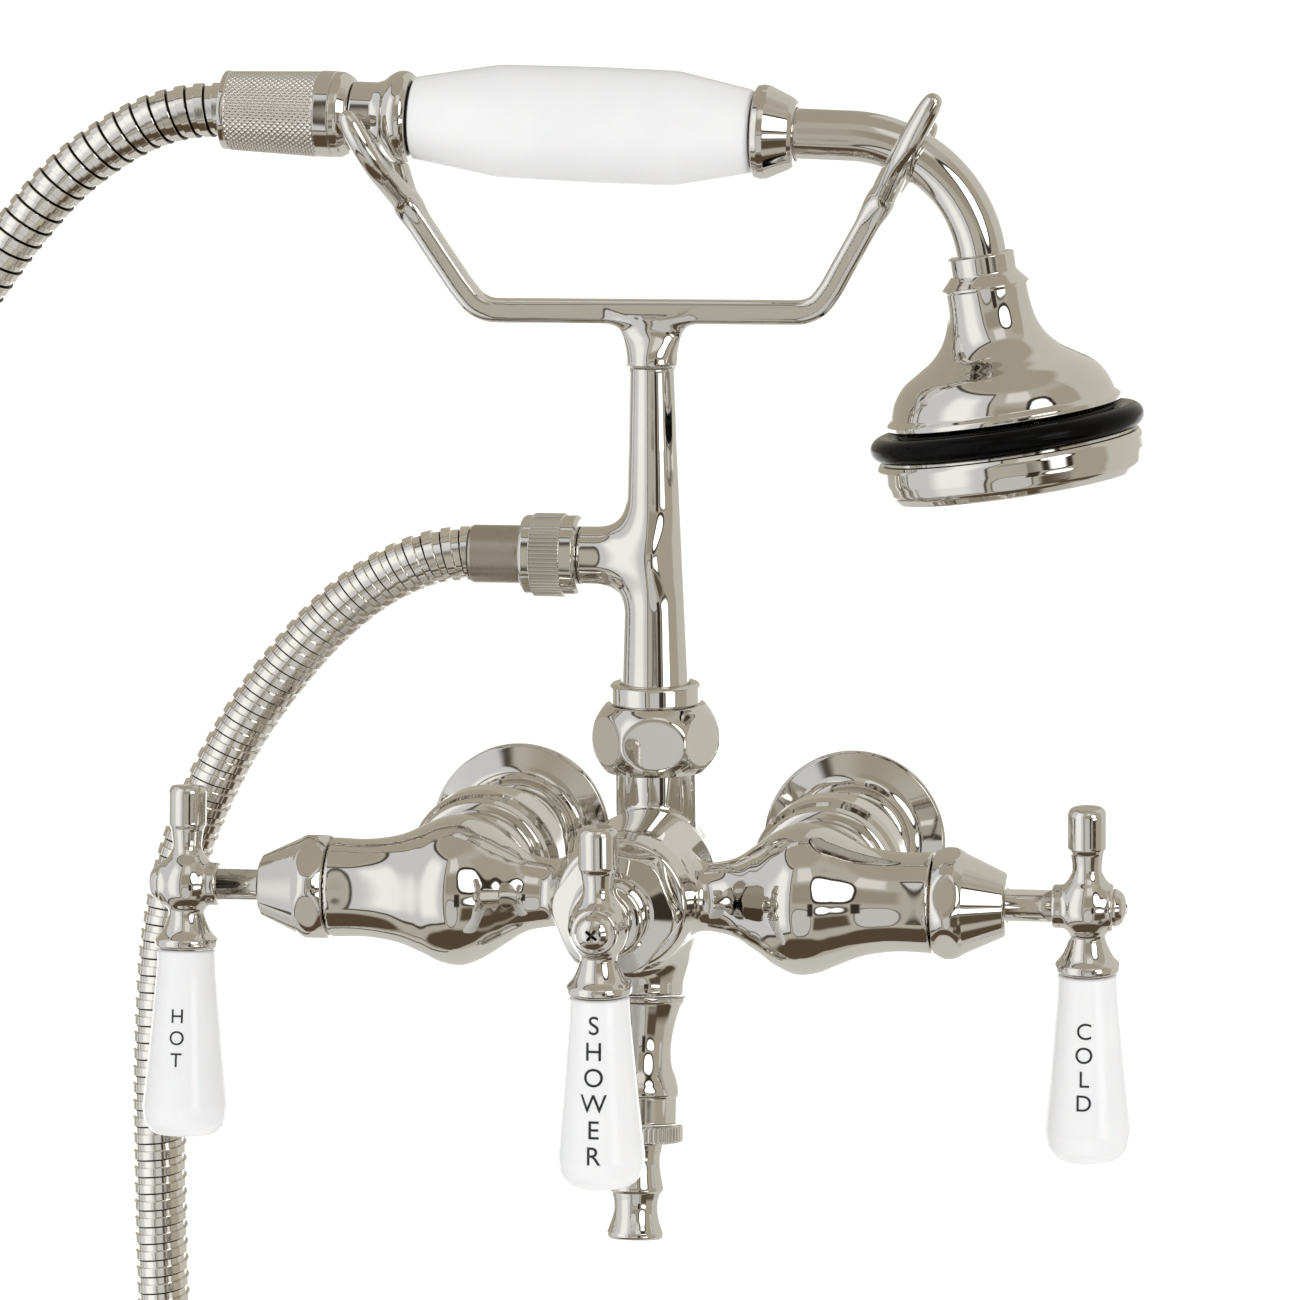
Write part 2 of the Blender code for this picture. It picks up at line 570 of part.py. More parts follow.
def shower_head():
    """Bell, rubber bumper ring, face cup, spray plate and its gasket, along the head's axis."""
    where = place((HEAD_TOP[0], RISER_Y, HEAD_TOP[1]), HEAD_AXIS)
    bell = [
        (8.0, 0.0), (8.0, 5.0), (10.4, 7.4), (10.4, 15.0), (12.8, 20.8), (20.0, 26.6), (25.6, 32.4),
        (28.4, 38.0), (28.4, 39.2), (26.2, 39.8), (26.2, 48.4),
        (24.6, 48.4), (24.6, 36.0), (22.0, 31.2), (10.0, 21.4), (8.4, 9.0), (6.45, 8.0), (6.45, 0.0),
    ]
    bell = turned("shower_bell", bell, where, "nickel", 20)
    steps = 6
    angles = [2 * math.pi * k / steps for k in range(steps)]
    section = [(30.1 - 3.5 * math.cos(angle), 43.2 - 3.0 * math.sin(angle)) for angle in angles]
    bumper = turned("bumper_ring", section, where, "rubber", 18)
    cup = [
        (26.6, 46.5), (31.2, 46.5), (32.1, 48.4), (31.4, 53.0), (29.8, 55.2), (28.4, 55.0), (28.4, 48.9),
        (26.6, 48.9),
    ]
    cup = turned("shower_face_cup", cup, where, "nickel", 20)
    gasket = turned("spray_gasket", bored([(28.0, 49.3), (28.0, 50.6)], 24.4), where, "rubber", 18)
    plate = turned("spray_plate", solid([(28.0, 51.0), (28.0, 52.4), (12.0, 53.9)]), where, "nickel", 20)
    return [bell, bumper, cup, gasket, plate]


# ---- hose ----
def hose():
    """Free metal hose on a smooth line from the side arm's ferrule to the handset."""
    route = [Vector((x, RISER_Y, z)) for x, z in HOSE_ROUTE]
    curve = bpy.data.curves.new("hose", "CURVE")
    curve.dimensions = "3D"
    curve.bevel_depth = HOSE_DIAMETER / 2 * MM
    curve.bevel_resolution = 2
    curve.use_fill_caps = True
    points = spaced(smooth_curve(route, Vector((-1, 0, 0)), HANDSET_AXIS), HOSE_POINTS, 4.0)
    spline = curve.splines.new("POLY")
    spline.points.add(len(points) - 1)
    for target, point in zip(spline.points, points):
        target.co = (*(point * MM), 1)
    obj = bpy.data.objects.new("hose", curve)
    bpy.context.scene.collection.objects.link(obj)
    curve.materials.append(finish("satin_nickel"))


def main():
    clear_scene()
    body_casting()
    for side, name in ((-1, "hot"), (1, "cold")):
        inlet(side, f"{name}_inlet")
        side_valve(side, name)
    front_valve()
    handle("hot", (-HUB_X, BODY_Y, 0), (-1, 0, 0), SIDE_VALVE_SEAT, HOT_TILT)
    handle("cold", (HUB_X, BODY_Y, 0), (1, 0, 0), SIDE_VALVE_SEAT, COLD_TILT)
    handle("diverter", (0, BODY_Y - HUB_OUT, 0), (0, -1, 0), -4.0, 0)
    outlet()
    riser()
    cradle()
    handset()
    hose()


main()
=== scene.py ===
"""Looks of the wall mounted bath faucet: polished nickel castings, glazed porcelain, metal hose.

Shapes are worked out in millimetres in the CAD's frame and turned into metres where a mesh is made.
-Y is the faucet's front, +Y goes into the wall, +Z is up.
"""

import json
import math

import bmesh
import bpy
import numpy as np
from mathutils import Matrix, Vector

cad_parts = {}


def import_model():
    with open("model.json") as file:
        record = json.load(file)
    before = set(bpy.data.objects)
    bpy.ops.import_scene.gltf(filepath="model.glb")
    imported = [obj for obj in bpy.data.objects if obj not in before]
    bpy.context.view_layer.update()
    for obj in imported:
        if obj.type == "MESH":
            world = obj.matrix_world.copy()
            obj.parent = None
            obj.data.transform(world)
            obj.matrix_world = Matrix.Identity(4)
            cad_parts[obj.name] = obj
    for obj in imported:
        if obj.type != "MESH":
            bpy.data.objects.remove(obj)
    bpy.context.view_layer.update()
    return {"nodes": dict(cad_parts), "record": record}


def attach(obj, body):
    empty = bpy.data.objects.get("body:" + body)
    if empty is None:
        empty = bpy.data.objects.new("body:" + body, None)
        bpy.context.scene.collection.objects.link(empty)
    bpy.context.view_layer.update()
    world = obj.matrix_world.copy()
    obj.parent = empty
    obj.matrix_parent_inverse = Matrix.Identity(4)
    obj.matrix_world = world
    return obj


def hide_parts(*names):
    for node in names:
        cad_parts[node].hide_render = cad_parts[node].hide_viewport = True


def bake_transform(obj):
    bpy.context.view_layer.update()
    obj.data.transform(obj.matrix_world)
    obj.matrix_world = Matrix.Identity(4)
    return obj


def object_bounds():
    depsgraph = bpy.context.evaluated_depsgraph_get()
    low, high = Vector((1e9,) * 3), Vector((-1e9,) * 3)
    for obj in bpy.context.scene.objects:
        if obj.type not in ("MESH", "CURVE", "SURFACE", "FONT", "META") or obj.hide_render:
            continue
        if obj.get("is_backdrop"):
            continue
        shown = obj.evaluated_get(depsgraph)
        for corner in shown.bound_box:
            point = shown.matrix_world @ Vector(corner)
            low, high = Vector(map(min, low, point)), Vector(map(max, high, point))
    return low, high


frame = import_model()

# ---- driving dimensions, as in the CAD, in millimetres and degrees ----
MM = 0.001
INLET_X = 85.725 / 2
BODY_Y = -78.0
RISER_Y = -43.3
ARM_END = 73.3
HUB_X = 110.0
HUB_FRONT = 40.6
HANDLE_TILT = {"hot": 6.5, "cold": -2.0, "diverter": 0.0}
SIDE_ARM_HEIGHT = 77.4
HOSE_DIAMETER = 13.4
HOSE_PITCH = 4.3
STEM_RADIUS = 3.8
STEM_BORE = 4.15               # of the nuts round the stems
TUBE_RADIUS = 6.1
SIDES = 96                     # faces round a turned piece


def tilted(degrees, x_axis=True):
    """Unit vector pointing down, its foot turned outward (towards +X) or forward (towards -Y)."""
    angle = math.radians(degrees)
    if x_axis:
        return Vector((math.sin(angle), 0, -math.cos(angle)))
    return Vector((0, -math.sin(angle), -math.cos(angle)))


OUTLET_ORIGIN = Vector((0, BODY_Y + 14.8, 0))
OUTLET_AXIS = tilted(9.0, x_axis=False)
HANDSET_ORIGIN = Vector((0, RISER_Y, 181.75))
HANDSET_AXIS = Vector((math.cos(math.radians(2.2)), 0, -math.sin(math.radians(2.2))))
HEAD_TOP = Vector((80.3, RISER_Y, 151.7))
HEAD_AXIS = tilted(8.4)
UP = Vector((0, 0, 1))
FRONT = Vector((0, -1, 0))
SIDE_ARM = Vector((0, RISER_Y, SIDE_ARM_HEIGHT))

# The hose's route in the riser plane, (x, z), as in the CAD.
HOSE_ROUTE = [
    (-45.6, 77.4), (-55.2, 76.3), (-64.2, 72.8), (-72.3, 68.0), (-79.8, 62.0),
    (-92.5, 48.6), (-103.9, 33.2), (-113.2, 16.6), (-120.4, -0.8), (-124.8, -19.4),
    (-127.2, -45.0), (-128.0, -85.0), (-127.4, -150.0), (-126.9, -230.0), (-126.8, -305.0),
    (-128.0, -357.0), (-136.0, -386.5), (-157.0, -408.0), (-186.0, -416.0), (-215.0, -408.0),
    (-236.0, -386.5), (-243.8, -357.0), (-245.2, -300.0), (-245.6, -220.0), (-243.6, -140.0),
    (-237.6, -65.0), (-226.5, 5.0), (-209.6, 68.0), (-192.0, 108.5), (-176.5, 132.0),
    (-167.0, 144.9), (-159.2, 155.0), (-153.1, 162.0), (-146.8, 168.5), (-139.8, 174.1),
    (-132.2, 179.0), (-123.9, 183.0), (-115.2, 185.3), (-106.2, 185.8),
]


# ---- camera ----
def camera():
    """A long lens, a little above the faucet and to its right."""
    azimuth, elevation, roll = math.radians(10.55), math.radians(8.62), math.radians(-0.53)
    distance = 1.38331
    target = Vector((5.24, BODY_Y, 59.61)) * MM
    level = Vector((-math.sin(azimuth), math.cos(azimuth), 0))
    look = level * math.cos(elevation) - UP * math.sin(elevation)
    right = look.cross(UP).normalized()
    up = right.cross(look)
    rolled_right = right * math.cos(roll) + up * math.sin(roll)
    rolled_up = -right * math.sin(roll) + up * math.cos(roll)
    data = bpy.data.cameras.new("camera")
    data.sensor_width = 36.0
    data.lens = 160.63
    data.clip_start = 0.05
    data.clip_end = 100.0
    obj = linked("camera", data)
    turn = Matrix((rolled_right, rolled_up, -look)).transposed().to_4x4()
    obj.matrix_world = Matrix.Translation(target - look * distance) @ turn
    bpy.context.scene.camera = obj


# ---- materials ----
def nodes_of(name):
    material = bpy.data.materials.new(name)
    material.use_nodes = True
    tree = material.node_tree
    shader = tree.nodes["Principled BSDF"]
    return material, tree, shader


def noise(tree, scale, detail=2.0, stretch=(1, 1, 1)):
    """Noise on object coordinates, scale in features per metre."""
    where = tree.nodes.new("ShaderNodeTexCoord")
    mapping = tree.nodes.new("ShaderNodeMapping")
    mapping.inputs["Scale"].default_value = stretch
    texture = tree.nodes.new("ShaderNodeTexNoise")
    texture.inputs["Scale"].default_value = scale
    texture.inputs["Detail"].default_value = detail
    tree.links.new(where.outputs["Object"], mapping.inputs["Vector"])
    tree.links.new(mapping.outputs["Vector"], texture.inputs["Vector"])
    return texture.outputs["Fac"]


def coloured(tree, shader, factor, low, high):
    """Base colour from low to high as factor goes from 0.3 to 0.7."""
    node = tree.nodes.new("ShaderNodeValToRGB")
    node.color_ramp.elements[0].position = 0.3
    node.color_ramp.elements[1].position = 0.7
    node.color_ramp.elements[0].color = (*low, 1)
    node.color_ramp.elements[1].color = (*high, 1)
    tree.links.new(factor, node.inputs["Fac"])
    tree.links.new(node.outputs["Color"], shader.inputs["Base Color"])


def roughened(tree, shader, factor, low, high):
    """Roughness from low to high as factor goes from 0.3 to 0.7."""
    node = tree.nodes.new("ShaderNodeMapRange")
    node.inputs["From Min"].default_value = 0.3
    node.inputs["From Max"].default_value = 0.7
    node.inputs["To Min"].default_value = low
    node.inputs["To Max"].default_value = high
    tree.links.new(factor, node.inputs["Value"])
    tree.links.new(node.outputs["Result"], shader.inputs["Roughness"])


def bump(tree, shader, height, distance):
    node = tree.nodes.new("ShaderNodeBump")
    node.inputs["Strength"].default_value = 1.0
    node.inputs["Distance"].default_value = distance
    tree.links.new(height, node.inputs["Height"])
    tree.links.new(node.outputs["Normal"], shader.inputs["Normal"])


def metal(name, light, dark, smooth, rough, grain=9000.0):
    """Plated metal: faint colour clouding, fine polishing marks in the roughness, a slight cast waviness."""
    material, tree, shader = nodes_of(name)
    shader.inputs["Metallic"].default_value = 1.0
    coloured(tree, shader, noise(tree, 40.0, 3.0), dark, light)
    roughened(tree, shader, noise(tree, grain, 2.0, (1, 1, 0.15)), smooth, rough)
    bump(tree, shader, noise(tree, 90.0, 1.0), 0.00002)
    return material


def porcelain():
    """Thick white glaze: a clear coat over a slightly warm and uneven body."""
    material, tree, shader = nodes_of("porcelain")
    coloured(tree, shader, noise(tree, 60.0, 3.0), (0.815, 0.815, 0.825), (0.845, 0.845, 0.845))
    roughened(tree, shader, noise(tree, 700.0), 0.10, 0.16)
    shader.inputs["Coat Weight"].default_value = 0.15
    shader.inputs["Coat Roughness"].default_value = 0.04
    shader.inputs["Specular IOR Level"].default_value = 0.35
    shader.inputs["Subsurface Weight"].default_value = 0.08
    shader.inputs["Subsurface Scale"].default_value = 0.002
    bump(tree, shader, noise(tree, 120.0, 1.0), 0.00003)
    return material


def rubber(name, colour, smooth, rough):
    material, tree, shader = nodes_of(name)
    lighter = tuple(c * 1.6 + 0.001 for c in colour)
    coloured(tree, shader, noise(tree, 300.0, 4.0), colour, lighter)
    roughened(tree, shader, noise(tree, 1500.0, 3.0), smooth, rough)
    shader.inputs["Specular IOR Level"].default_value = 0.08
    bump(tree, shader, noise(tree, 2500.0, 2.0), 0.00001)
    return material


def ink():
    material, tree, shader = nodes_of("printed_ink")
    coloured(tree, shader, noise(tree, 2500.0, 3.0), (0.008, 0.008, 0.008), (0.03, 0.03, 0.03))
    roughened(tree, shader, noise(tree, 1500.0), 0.25, 0.4)
    return material


FINISH = {
    "nickel": metal("polished_nickel", (0.70, 0.68, 0.64), (0.66, 0.64, 0.60), 0.03, 0.065),
    "hose_metal": metal("hose_nickel", (0.80, 0.775, 0.725), (0.71, 0.685, 0.635), 0.06, 0.14, 5000.0),
    # Dark metal for the walls of the screw's cross recess and of the hose's gaps: painted shade, standing in
    # for the shade that falls in these hollows.
    "painted_recess_shade": metal("painted_recess_shade", (0.11, 0.10, 0.085), (0.07, 0.06, 0.05), 0.3, 0.45),
    "satin_nickel": metal("satin_nickel", (0.46, 0.415, 0.355), (0.38, 0.34, 0.285), 0.26, 0.36, 6000.0),
    "stem_metal": metal("plated_spindle", (0.70, 0.68, 0.64), (0.66, 0.64, 0.60), 0.06, 0.12),
    "brass": metal("machined_brass", (0.80, 0.62, 0.33), (0.72, 0.54, 0.27), 0.22, 0.36, 4000.0),
    "porcelain": porcelain(),
    "black_rubber": rubber("glossy_black_rubber", (0.0010, 0.0010, 0.0011), 0.10, 0.18),
    "washer_rubber": rubber("washer_rubber", (0.02, 0.02, 0.02), 0.5, 0.65),
    "ink": ink(),
}


# ---- small tools ----
def place(origin, axis, roll=0.0):
    """Matrix, in millimetres, that stands local +Z along axis at origin."""
    turn = Vector(axis).to_track_quat("Z", "Y").to_matrix().to_4x4()
    return Matrix.Translation(Vector(origin)) @ turn @ Matrix.Rotation(math.radians(roll), 4, "Z")


def piece(name, points, faces, where, body, slot, replaces=()):
    """Object from points in millimetres, riding on a body and standing for CAD nodes."""
    mesh = bpy.data.meshes.new(name)
    mesh.from_pydata([tuple(p) for p in points], [], faces)
    mesh.transform(where)
    mesh.transform(Matrix.Scale(MM, 4))
    mesh.validate()
    mesh.shade_smooth()
    mesh.materials.append(FINISH[slot])
    obj = linked(name, mesh)
    if body:
        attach(obj, body)
    if replaces:
        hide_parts(*replaces)
    return obj


def linked(name, data):
    obj = bpy.data.objects.new(name, data)
    bpy.context.scene.collection.objects.link(obj)
    return obj


def outline(points, fillet=0.35):
    """A profile of (radius, height[, fillet]) corners, each rounded, with a support point beside each arc."""
    most_trim, support_share, support_limit, arc_step = 0.48, 0.04, 0.3, 12
    corners = [(Vector(p[:2]), p[2] if len(p) > 2 else fillet) for p in points]
    out = [corners[0][0]]
    for (before, _), (corner, size), (after, _) in zip(corners, corners[1:], corners[2:]):
        back, on = before - corner, after - corner
        turn = math.pi - back.angle(on)
        if size <= 0 or turn < 0.02:
            out.append(corner)
            continue
        trim = min(size * math.tan(turn / 2), most_trim * back.length, most_trim * on.length)
        start, end = corner + back.normalized() * trim, corner + on.normalized() * trim
        supports = []
        for arc_end, side in ((start, back), (end, on)):
            reach = support_share * side.length
            supports.append([arc_end + side.normalized() * min(support_limit, reach)] if reach > 0.05 else [])
        steps = max(2, math.ceil(math.degrees(turn) / arc_step))
        shares = [k / steps for k in range(steps + 1)]
        arc = [start * (1 - t) ** 2 + corner * 2 * t * (1 - t) + end * t ** 2 for t in shares]
        out += supports[0] + arc + supports[1]
    out.append(corners[-1][0])
    return [tuple(p) for p in out]


def flow(points, steps=8):
    """A smooth profile through (radius, height) points."""
    return [tuple(p) for p in smooth_curve([Vector(p) for p in points], steps)]


def smooth_curve(points, steps=16, start=None, end=None):
    """A fine polyline on a smooth curve through the points. It starts and ends along its first and last
    stretch, or in the directions given."""
    spans = [(after - before).length for before, after in zip(points, points[1:])]
    ways = [(after - before) / span for before, after, span in zip(points, points[1:], spans)]
    slopes = [start or ways[0]]
    for before, after, span, next_span in zip(ways, ways[1:], spans, spans[1:]):
        slopes.append((before * next_span + after * span) / (span + next_span))
    slopes.append(end or ways[-1])
    fine = []
    for i, span in enumerate(spans):
        for k in range(steps):
            t = k / steps
            fine.append(
                points[i] * (2 * t ** 3 - 3 * t ** 2 + 1) + slopes[i] * span * (t ** 3 - 2 * t ** 2 + t)
                + points[i + 1] * (3 * t ** 2 - 2 * t ** 3) + slopes[i + 1] * span * (t ** 3 - t ** 2)
            )
    return fine + [points[-1]]


def band_faces(rings, sides, closed=True):
    """Quads between rings of points. Where closed, the last ring joins the first one."""
    faces = []
    for i in range(rings if closed else rings - 1):
        low, high = i * sides, (i + 1) % rings * sides
        faces += [(low + j, low + (j + 1) % sides, high + (j + 1) % sides, high + j) for j in range(sides)]
    return faces


def revolve(profile, sides=SIDES, shape=None):
    """Points and faces of a turned profile. shape(radius, height, angle) may change the radius.

    A profile that starts and ends on the axis is a solid; any other is closed into a ring."""
    solid_end = profile[0][0] < 1e-6 and profile[-1][0] < 1e-6
    rings = profile[1:-1] if solid_end else profile
    points = []
    for radius, height in rings:
        for j in range(sides):
            angle = 2 * math.pi * j / sides
            r = shape(radius, height, angle) if shape else radius
            points.append((r * math.cos(angle), r * math.sin(angle), height))
    faces = band_faces(len(rings), sides, closed=not solid_end)
    if solid_end:
        first, top = len(points), len(points) - sides
        points += [(0, 0, profile[0][1]), (0, 0, profile[-1][1])]
        for j in range(sides):
            k = (j + 1) % sides
            faces += [(first, k, j), (first + 1, top + j, top + k)]
    return points, faces


def turned(name, profile, where, body, replaces, slot="nickel", sides=SIDES, shape=None):
    points, faces = revolve(profile, sides, shape)
    return outward(piece(name, points, faces, where, body, slot, replaces))


def outward(obj):
    """Turns all faces out."""
    bm = bmesh.new()
    bm.from_mesh(obj.data)
    bmesh.ops.remove_doubles(bm, verts=bm.verts, dist=1e-7)
    bmesh.ops.recalc_face_normals(bm, faces=bm.faces)
    bm.to_mesh(obj.data)
    bm.free()
    obj.data.shade_smooth()
    return obj


def bored(profile, bore):
    """Closes a profile with a straight bore, whose two mouths are eased."""
    fillet, low, high = 0.3, profile[0][1], profile[-1][1]
    ease = fillet if high > low else -fillet
    return profile + [
        (bore + fillet, high), (bore + fillet * 0.3, high - ease * 0.3), (bore, high - ease),
        (bore, (low + high) / 2), (bore, low + ease), (bore + fillet * 0.3, low + ease * 0.3),
        (bore + fillet, low),
    ]


def solid(profile):
    return [(0.0, profile[0][1])] + profile + [(0.0, profile[-1][1])]


# ---- blended castings ----
def to_local(points, where):
    inverse = np.array(where.inverted())
    return points @ inverse[:3, :3].T + inverse[:3, 3]


def to_segment(points, start, end):
    """Distance from each point to a segment, and the share of the segment at which it is met."""
    edge, away = end - start, points - start
    share = np.clip(away @ edge / (edge @ edge + 1e-12), 0, 1)
    return np.sqrt(((away - share[:, None] * edge) ** 2).sum(1)), share


def lathe_field(profile, where):
    """Signed distance to a solid turned from a profile that starts and ends on the axis, by a fine grid."""
    cell, margin = 0.15, 8.0
    corners = np.array(profile, float)
    low = np.array([0.0, corners[:, 1].min() - margin])
    counts = np.ceil((corners.max(0) + margin - low) / cell).astype(int) + 2
    grid_r, grid_h = (low[i] + cell * np.arange(counts[i]) for i in (0, 1))
    flat = np.stack(np.meshgrid(grid_r, grid_h, indexing="ij"), -1).reshape(-1, 2)
    nearest = np.full(len(flat), 1e9)
    inside = np.zeros(len(flat), bool)
    for start, end in zip(corners, corners[1:]):
        nearest = np.minimum(nearest, to_segment(flat, start, end)[0])
        edge = end - start
        if edge[1] != 0:
            crosses = (start[1] > flat[:, 1]) != (end[1] > flat[:, 1])
            inside ^= crosses & (flat[:, 0] < start[0] + edge[0] * (flat[:, 1] - start[1]) / edge[1])
    grid = (np.where(inside, -1, 1) * nearest).reshape(counts)

    def field(points):
        local = to_local(points, where)
        at = (np.stack([np.hypot(local[:, 0], local[:, 1]), local[:, 2]], 1) - low) / cell
        held = np.clip(at, 0, counts - 1.001)
        beyond = np.hypot(*(at - held).T) * cell
        i, j = held.astype(int).T
        u, v = (held - held.astype(int)).T
        value = (grid[i, j] * (1 - u) + grid[i + 1, j] * u) * (1 - v)
        value += (grid[i, j + 1] * (1 - u) + grid[i + 1, j + 1] * u) * v
        return value + beyond

    return field


def bar_field(path, half, corner):
    """Signed distance to a bar of rounded rectangular section along a path in the riser plane."""
    path = np.array(path, float)

    def field(points):
        flat = points[:, [0, 2]]
        nearest = np.min([to_segment(flat, start, end)[0] for start, end in zip(path, path[1:])], axis=0)
        over_a = nearest - (half[0] - corner)
        over_b = np.abs(points[:, 1] - RISER_Y) - (half[1] - corner)
        outside = np.hypot(np.maximum(over_a, 0), np.maximum(over_b, 0))
        return outside + np.minimum(np.maximum(over_a, over_b), 0) - corner

    return field


def prong_field(path, radii):
    """Signed distance to a round bar whose radius changes along its path."""
    path = np.array(path, float)

    def field(points):
        nearest = np.full(len(points), 1e9)
        for start, end, radius, next_radius in zip(path, path[1:], radii, radii[1:]):
            reach, share = to_segment(points, start, end)
            nearest = np.minimum(nearest, reach - (radius + share * (next_radius - radius)))
        return nearest

    return field


def blended(fields, size):
    """The fields' union, with a soft fillet of about that size where they meet."""
    def field(points):
        total = fields[0](points)
        for other in fields[1:]:
            value = other(points)
            near = np.maximum(size - np.abs(total - value), 0) / size
            total = np.minimum(total, value) - near * near * size / 4
        return total

    return field


def casting(name, field, low, high, voxel, body, replaces):
    """Nickel mesh of a field's zero surface in a box: a grid's surface, relaxed and drawn onto the field."""
    rounds, pulls = 5, 2
    low, high = np.array(low, float), np.array(high, float)
    values = sampled(field, low, np.ceil((high - low) / voxel).astype(int) + 1, voxel)
    points, faces = surface_nets(values, low, voxel)
    for _ in range(rounds):
        points = relax(points, faces)
        for _ in range(pulls):
            points = points - field(points)[:, None] * normals_of(points, faces)
    outward(piece(name, points.tolist(), faces.tolist(), Matrix.Identity(4), body, "nickel", replaces))


def sampled(field, low, counts, voxel):
    """The field on a grid. Blocks well away from the surface only get the value at their middle."""
    block, reach = 6, 1.5
    blocks = -(-counts // block)
    middles = np.stack(np.meshgrid(*[np.arange(n) for n in blocks], indexing="ij"), -1).reshape(-1, 3)
    coarse = field(low + voxel * (middles * block + (block - 1) / 2))
    values = np.repeat(coarse, block ** 3).reshape(-1, block, block, block)
    near = np.abs(coarse) < voxel * block * 0.9 + reach
    inner = np.stack(np.meshgrid(*[np.arange(block)] * 3, indexing="ij"), -1).reshape(-1, 3)
    chosen = (middles[near][:, None] * block + inner).reshape(-1, 3)
    values[near] = field(low + voxel * chosen).reshape(-1, block, block, block)
    values = values.reshape(*blocks, block, block, block).transpose(0, 3, 1, 4, 2, 5)
    return values.reshape(*(blocks * block))[:counts[0], :counts[1], :counts[2]]


def neighbours(cells, axis, du, dv):
    """Indices of the cells moved by du and dv along the two axes across the given one."""
    moved = cells.copy()
    moved[:, (axis + 1) % 3] += du
    moved[:, (axis + 2) % 3] += dv
    return tuple(moved.T)


def surface_nets(values, low, voxel):
    """One point in each grid cell that the zero surface crosses, and one quad for each crossed grid edge."""
    around = ((0, 0), (-1, 0), (-1, -1), (0, -1))
    inside = values < 0
    size = tuple(n - 1 for n in values.shape)
    cell_sum, cell_count = np.zeros((*size, 3)), np.zeros(size)
    crossings = []
    for axis in range(3):
        first, second = [slice(None)] * 3, [slice(None)] * 3
        first[axis], second[axis] = slice(None, -1), slice(1, None)
        first, second = tuple(first), tuple(second)
        found = np.argwhere(inside[first] != inside[second])
        before, after = values[first][tuple(found.T)], values[second][tuple(found.T)]
        at = found.astype(float)
        at[:, axis] += before / (before - after)
        crossings.append((axis, found, before < 0))
        for du, dv in around:
            cell = neighbours(found, axis, du, dv)
            np.add.at(cell_sum, cell, at)
            np.add.at(cell_count, cell, 1)
    used = cell_count > 0
    index = np.full(used.shape, -1)
    index[used] = np.arange(used.sum())
    points = low + voxel * cell_sum[used] / cell_count[used][:, None]
    faces = []
    for axis, found, leaving in crossings:
        quads = np.stack([index[neighbours(found, axis, du, dv)] for du, dv in around], 1)
        quads[~leaving] = quads[~leaving][:, ::-1]
        faces.append(quads)
    return points, np.concatenate(faces)


def normals_of(points, faces):
    across = np.cross(points[faces[:, 2]] - points[faces[:, 0]], points[faces[:, 3]] - points[faces[:, 1]])
    normals = np.zeros_like(points)
    for k in range(4):
        np.add.at(normals, faces[:, k], across)
    return normals / (np.linalg.norm(normals, axis=1)[:, None] + 1e-12)


def relax(points, faces):
    """Moves each point halfway to the middle of its neighbours, but not along its normal."""
    total, count = np.zeros_like(points), np.zeros(len(points))
    for k in range(4):
        a, b = faces[:, k], faces[:, (k + 1) % 4]
        for one, other in ((a, b), (b, a)):
            np.add.at(total, one, points[other])
            np.add.at(count, one, 1)
    move = total / count[:, None] - points
    normals = normals_of(points, faces)
    return points + 0.5 * (move - (move * normals).sum(1)[:, None] * normals)


# ---- body ----
def body_casting():
    half = [(8.3, 20.0), (9.4, 25.0), (12.8, 30.5), (16.4, 36.0), (18.2, 41.0), (17.6, 46.0), (15.7, 50.5),
            (13.3, 56.5), (12.0, 64.0), (12.1, ARM_END)]
    arms = flow([(radius, -x) for radius, x in reversed(half)] + [(8.0, 0.0)] + half)
    fields = [lathe_field(solid(arms), place((0, BODY_Y, 0), (1, 0, 0)))]
    barrel = outline([
        (0, -13.8), (15.6, -13.8, 1.5), (17.2, -9.0, 3), (17.2, 21.0, 12), (14.0, 33.0, 12), (12.8, 44.5, 4),
        (0, 47.5),
    ])
    fields.append(lathe_field(barrel, place((0, BODY_Y, 0), (0, 1, 0))))
    boss = outline([(0, 5.0), (15.6, 7.0, 4), (12.4, 19.0, 6), (11.0, 24.0, 3), (11.0, 26.7), (0, 26.7)])
    fields.append(lathe_field(boss, place(OUTLET_ORIGIN, OUTLET_AXIS)))
    elbow = outline([(0, 0.0), (15.0, 0.0, 5), (15.5, 14.0, 5), (15.5, 24.2), (0, 24.2)])
    for side in (-1, 1):
        fields.append(lathe_field(elbow, place((side * INLET_X, BODY_Y, 0), (0, 1, 0))))
    stub = lathe_field(outline([(0, 2.0), (9.8, 2.0), (9.8, 30.0), (0, 30.0)]), place((0, RISER_Y, 0), UP))
    field = blended([blended(fields, size=4.5), stub], size=1.6)
    low, high = (-75.0, -99.0, -31.0), (75.0, -27.0, 33.0)
    casting("cast_body", field, low, high, voxel=0.75, body="faucet", replaces=["body_casting"])


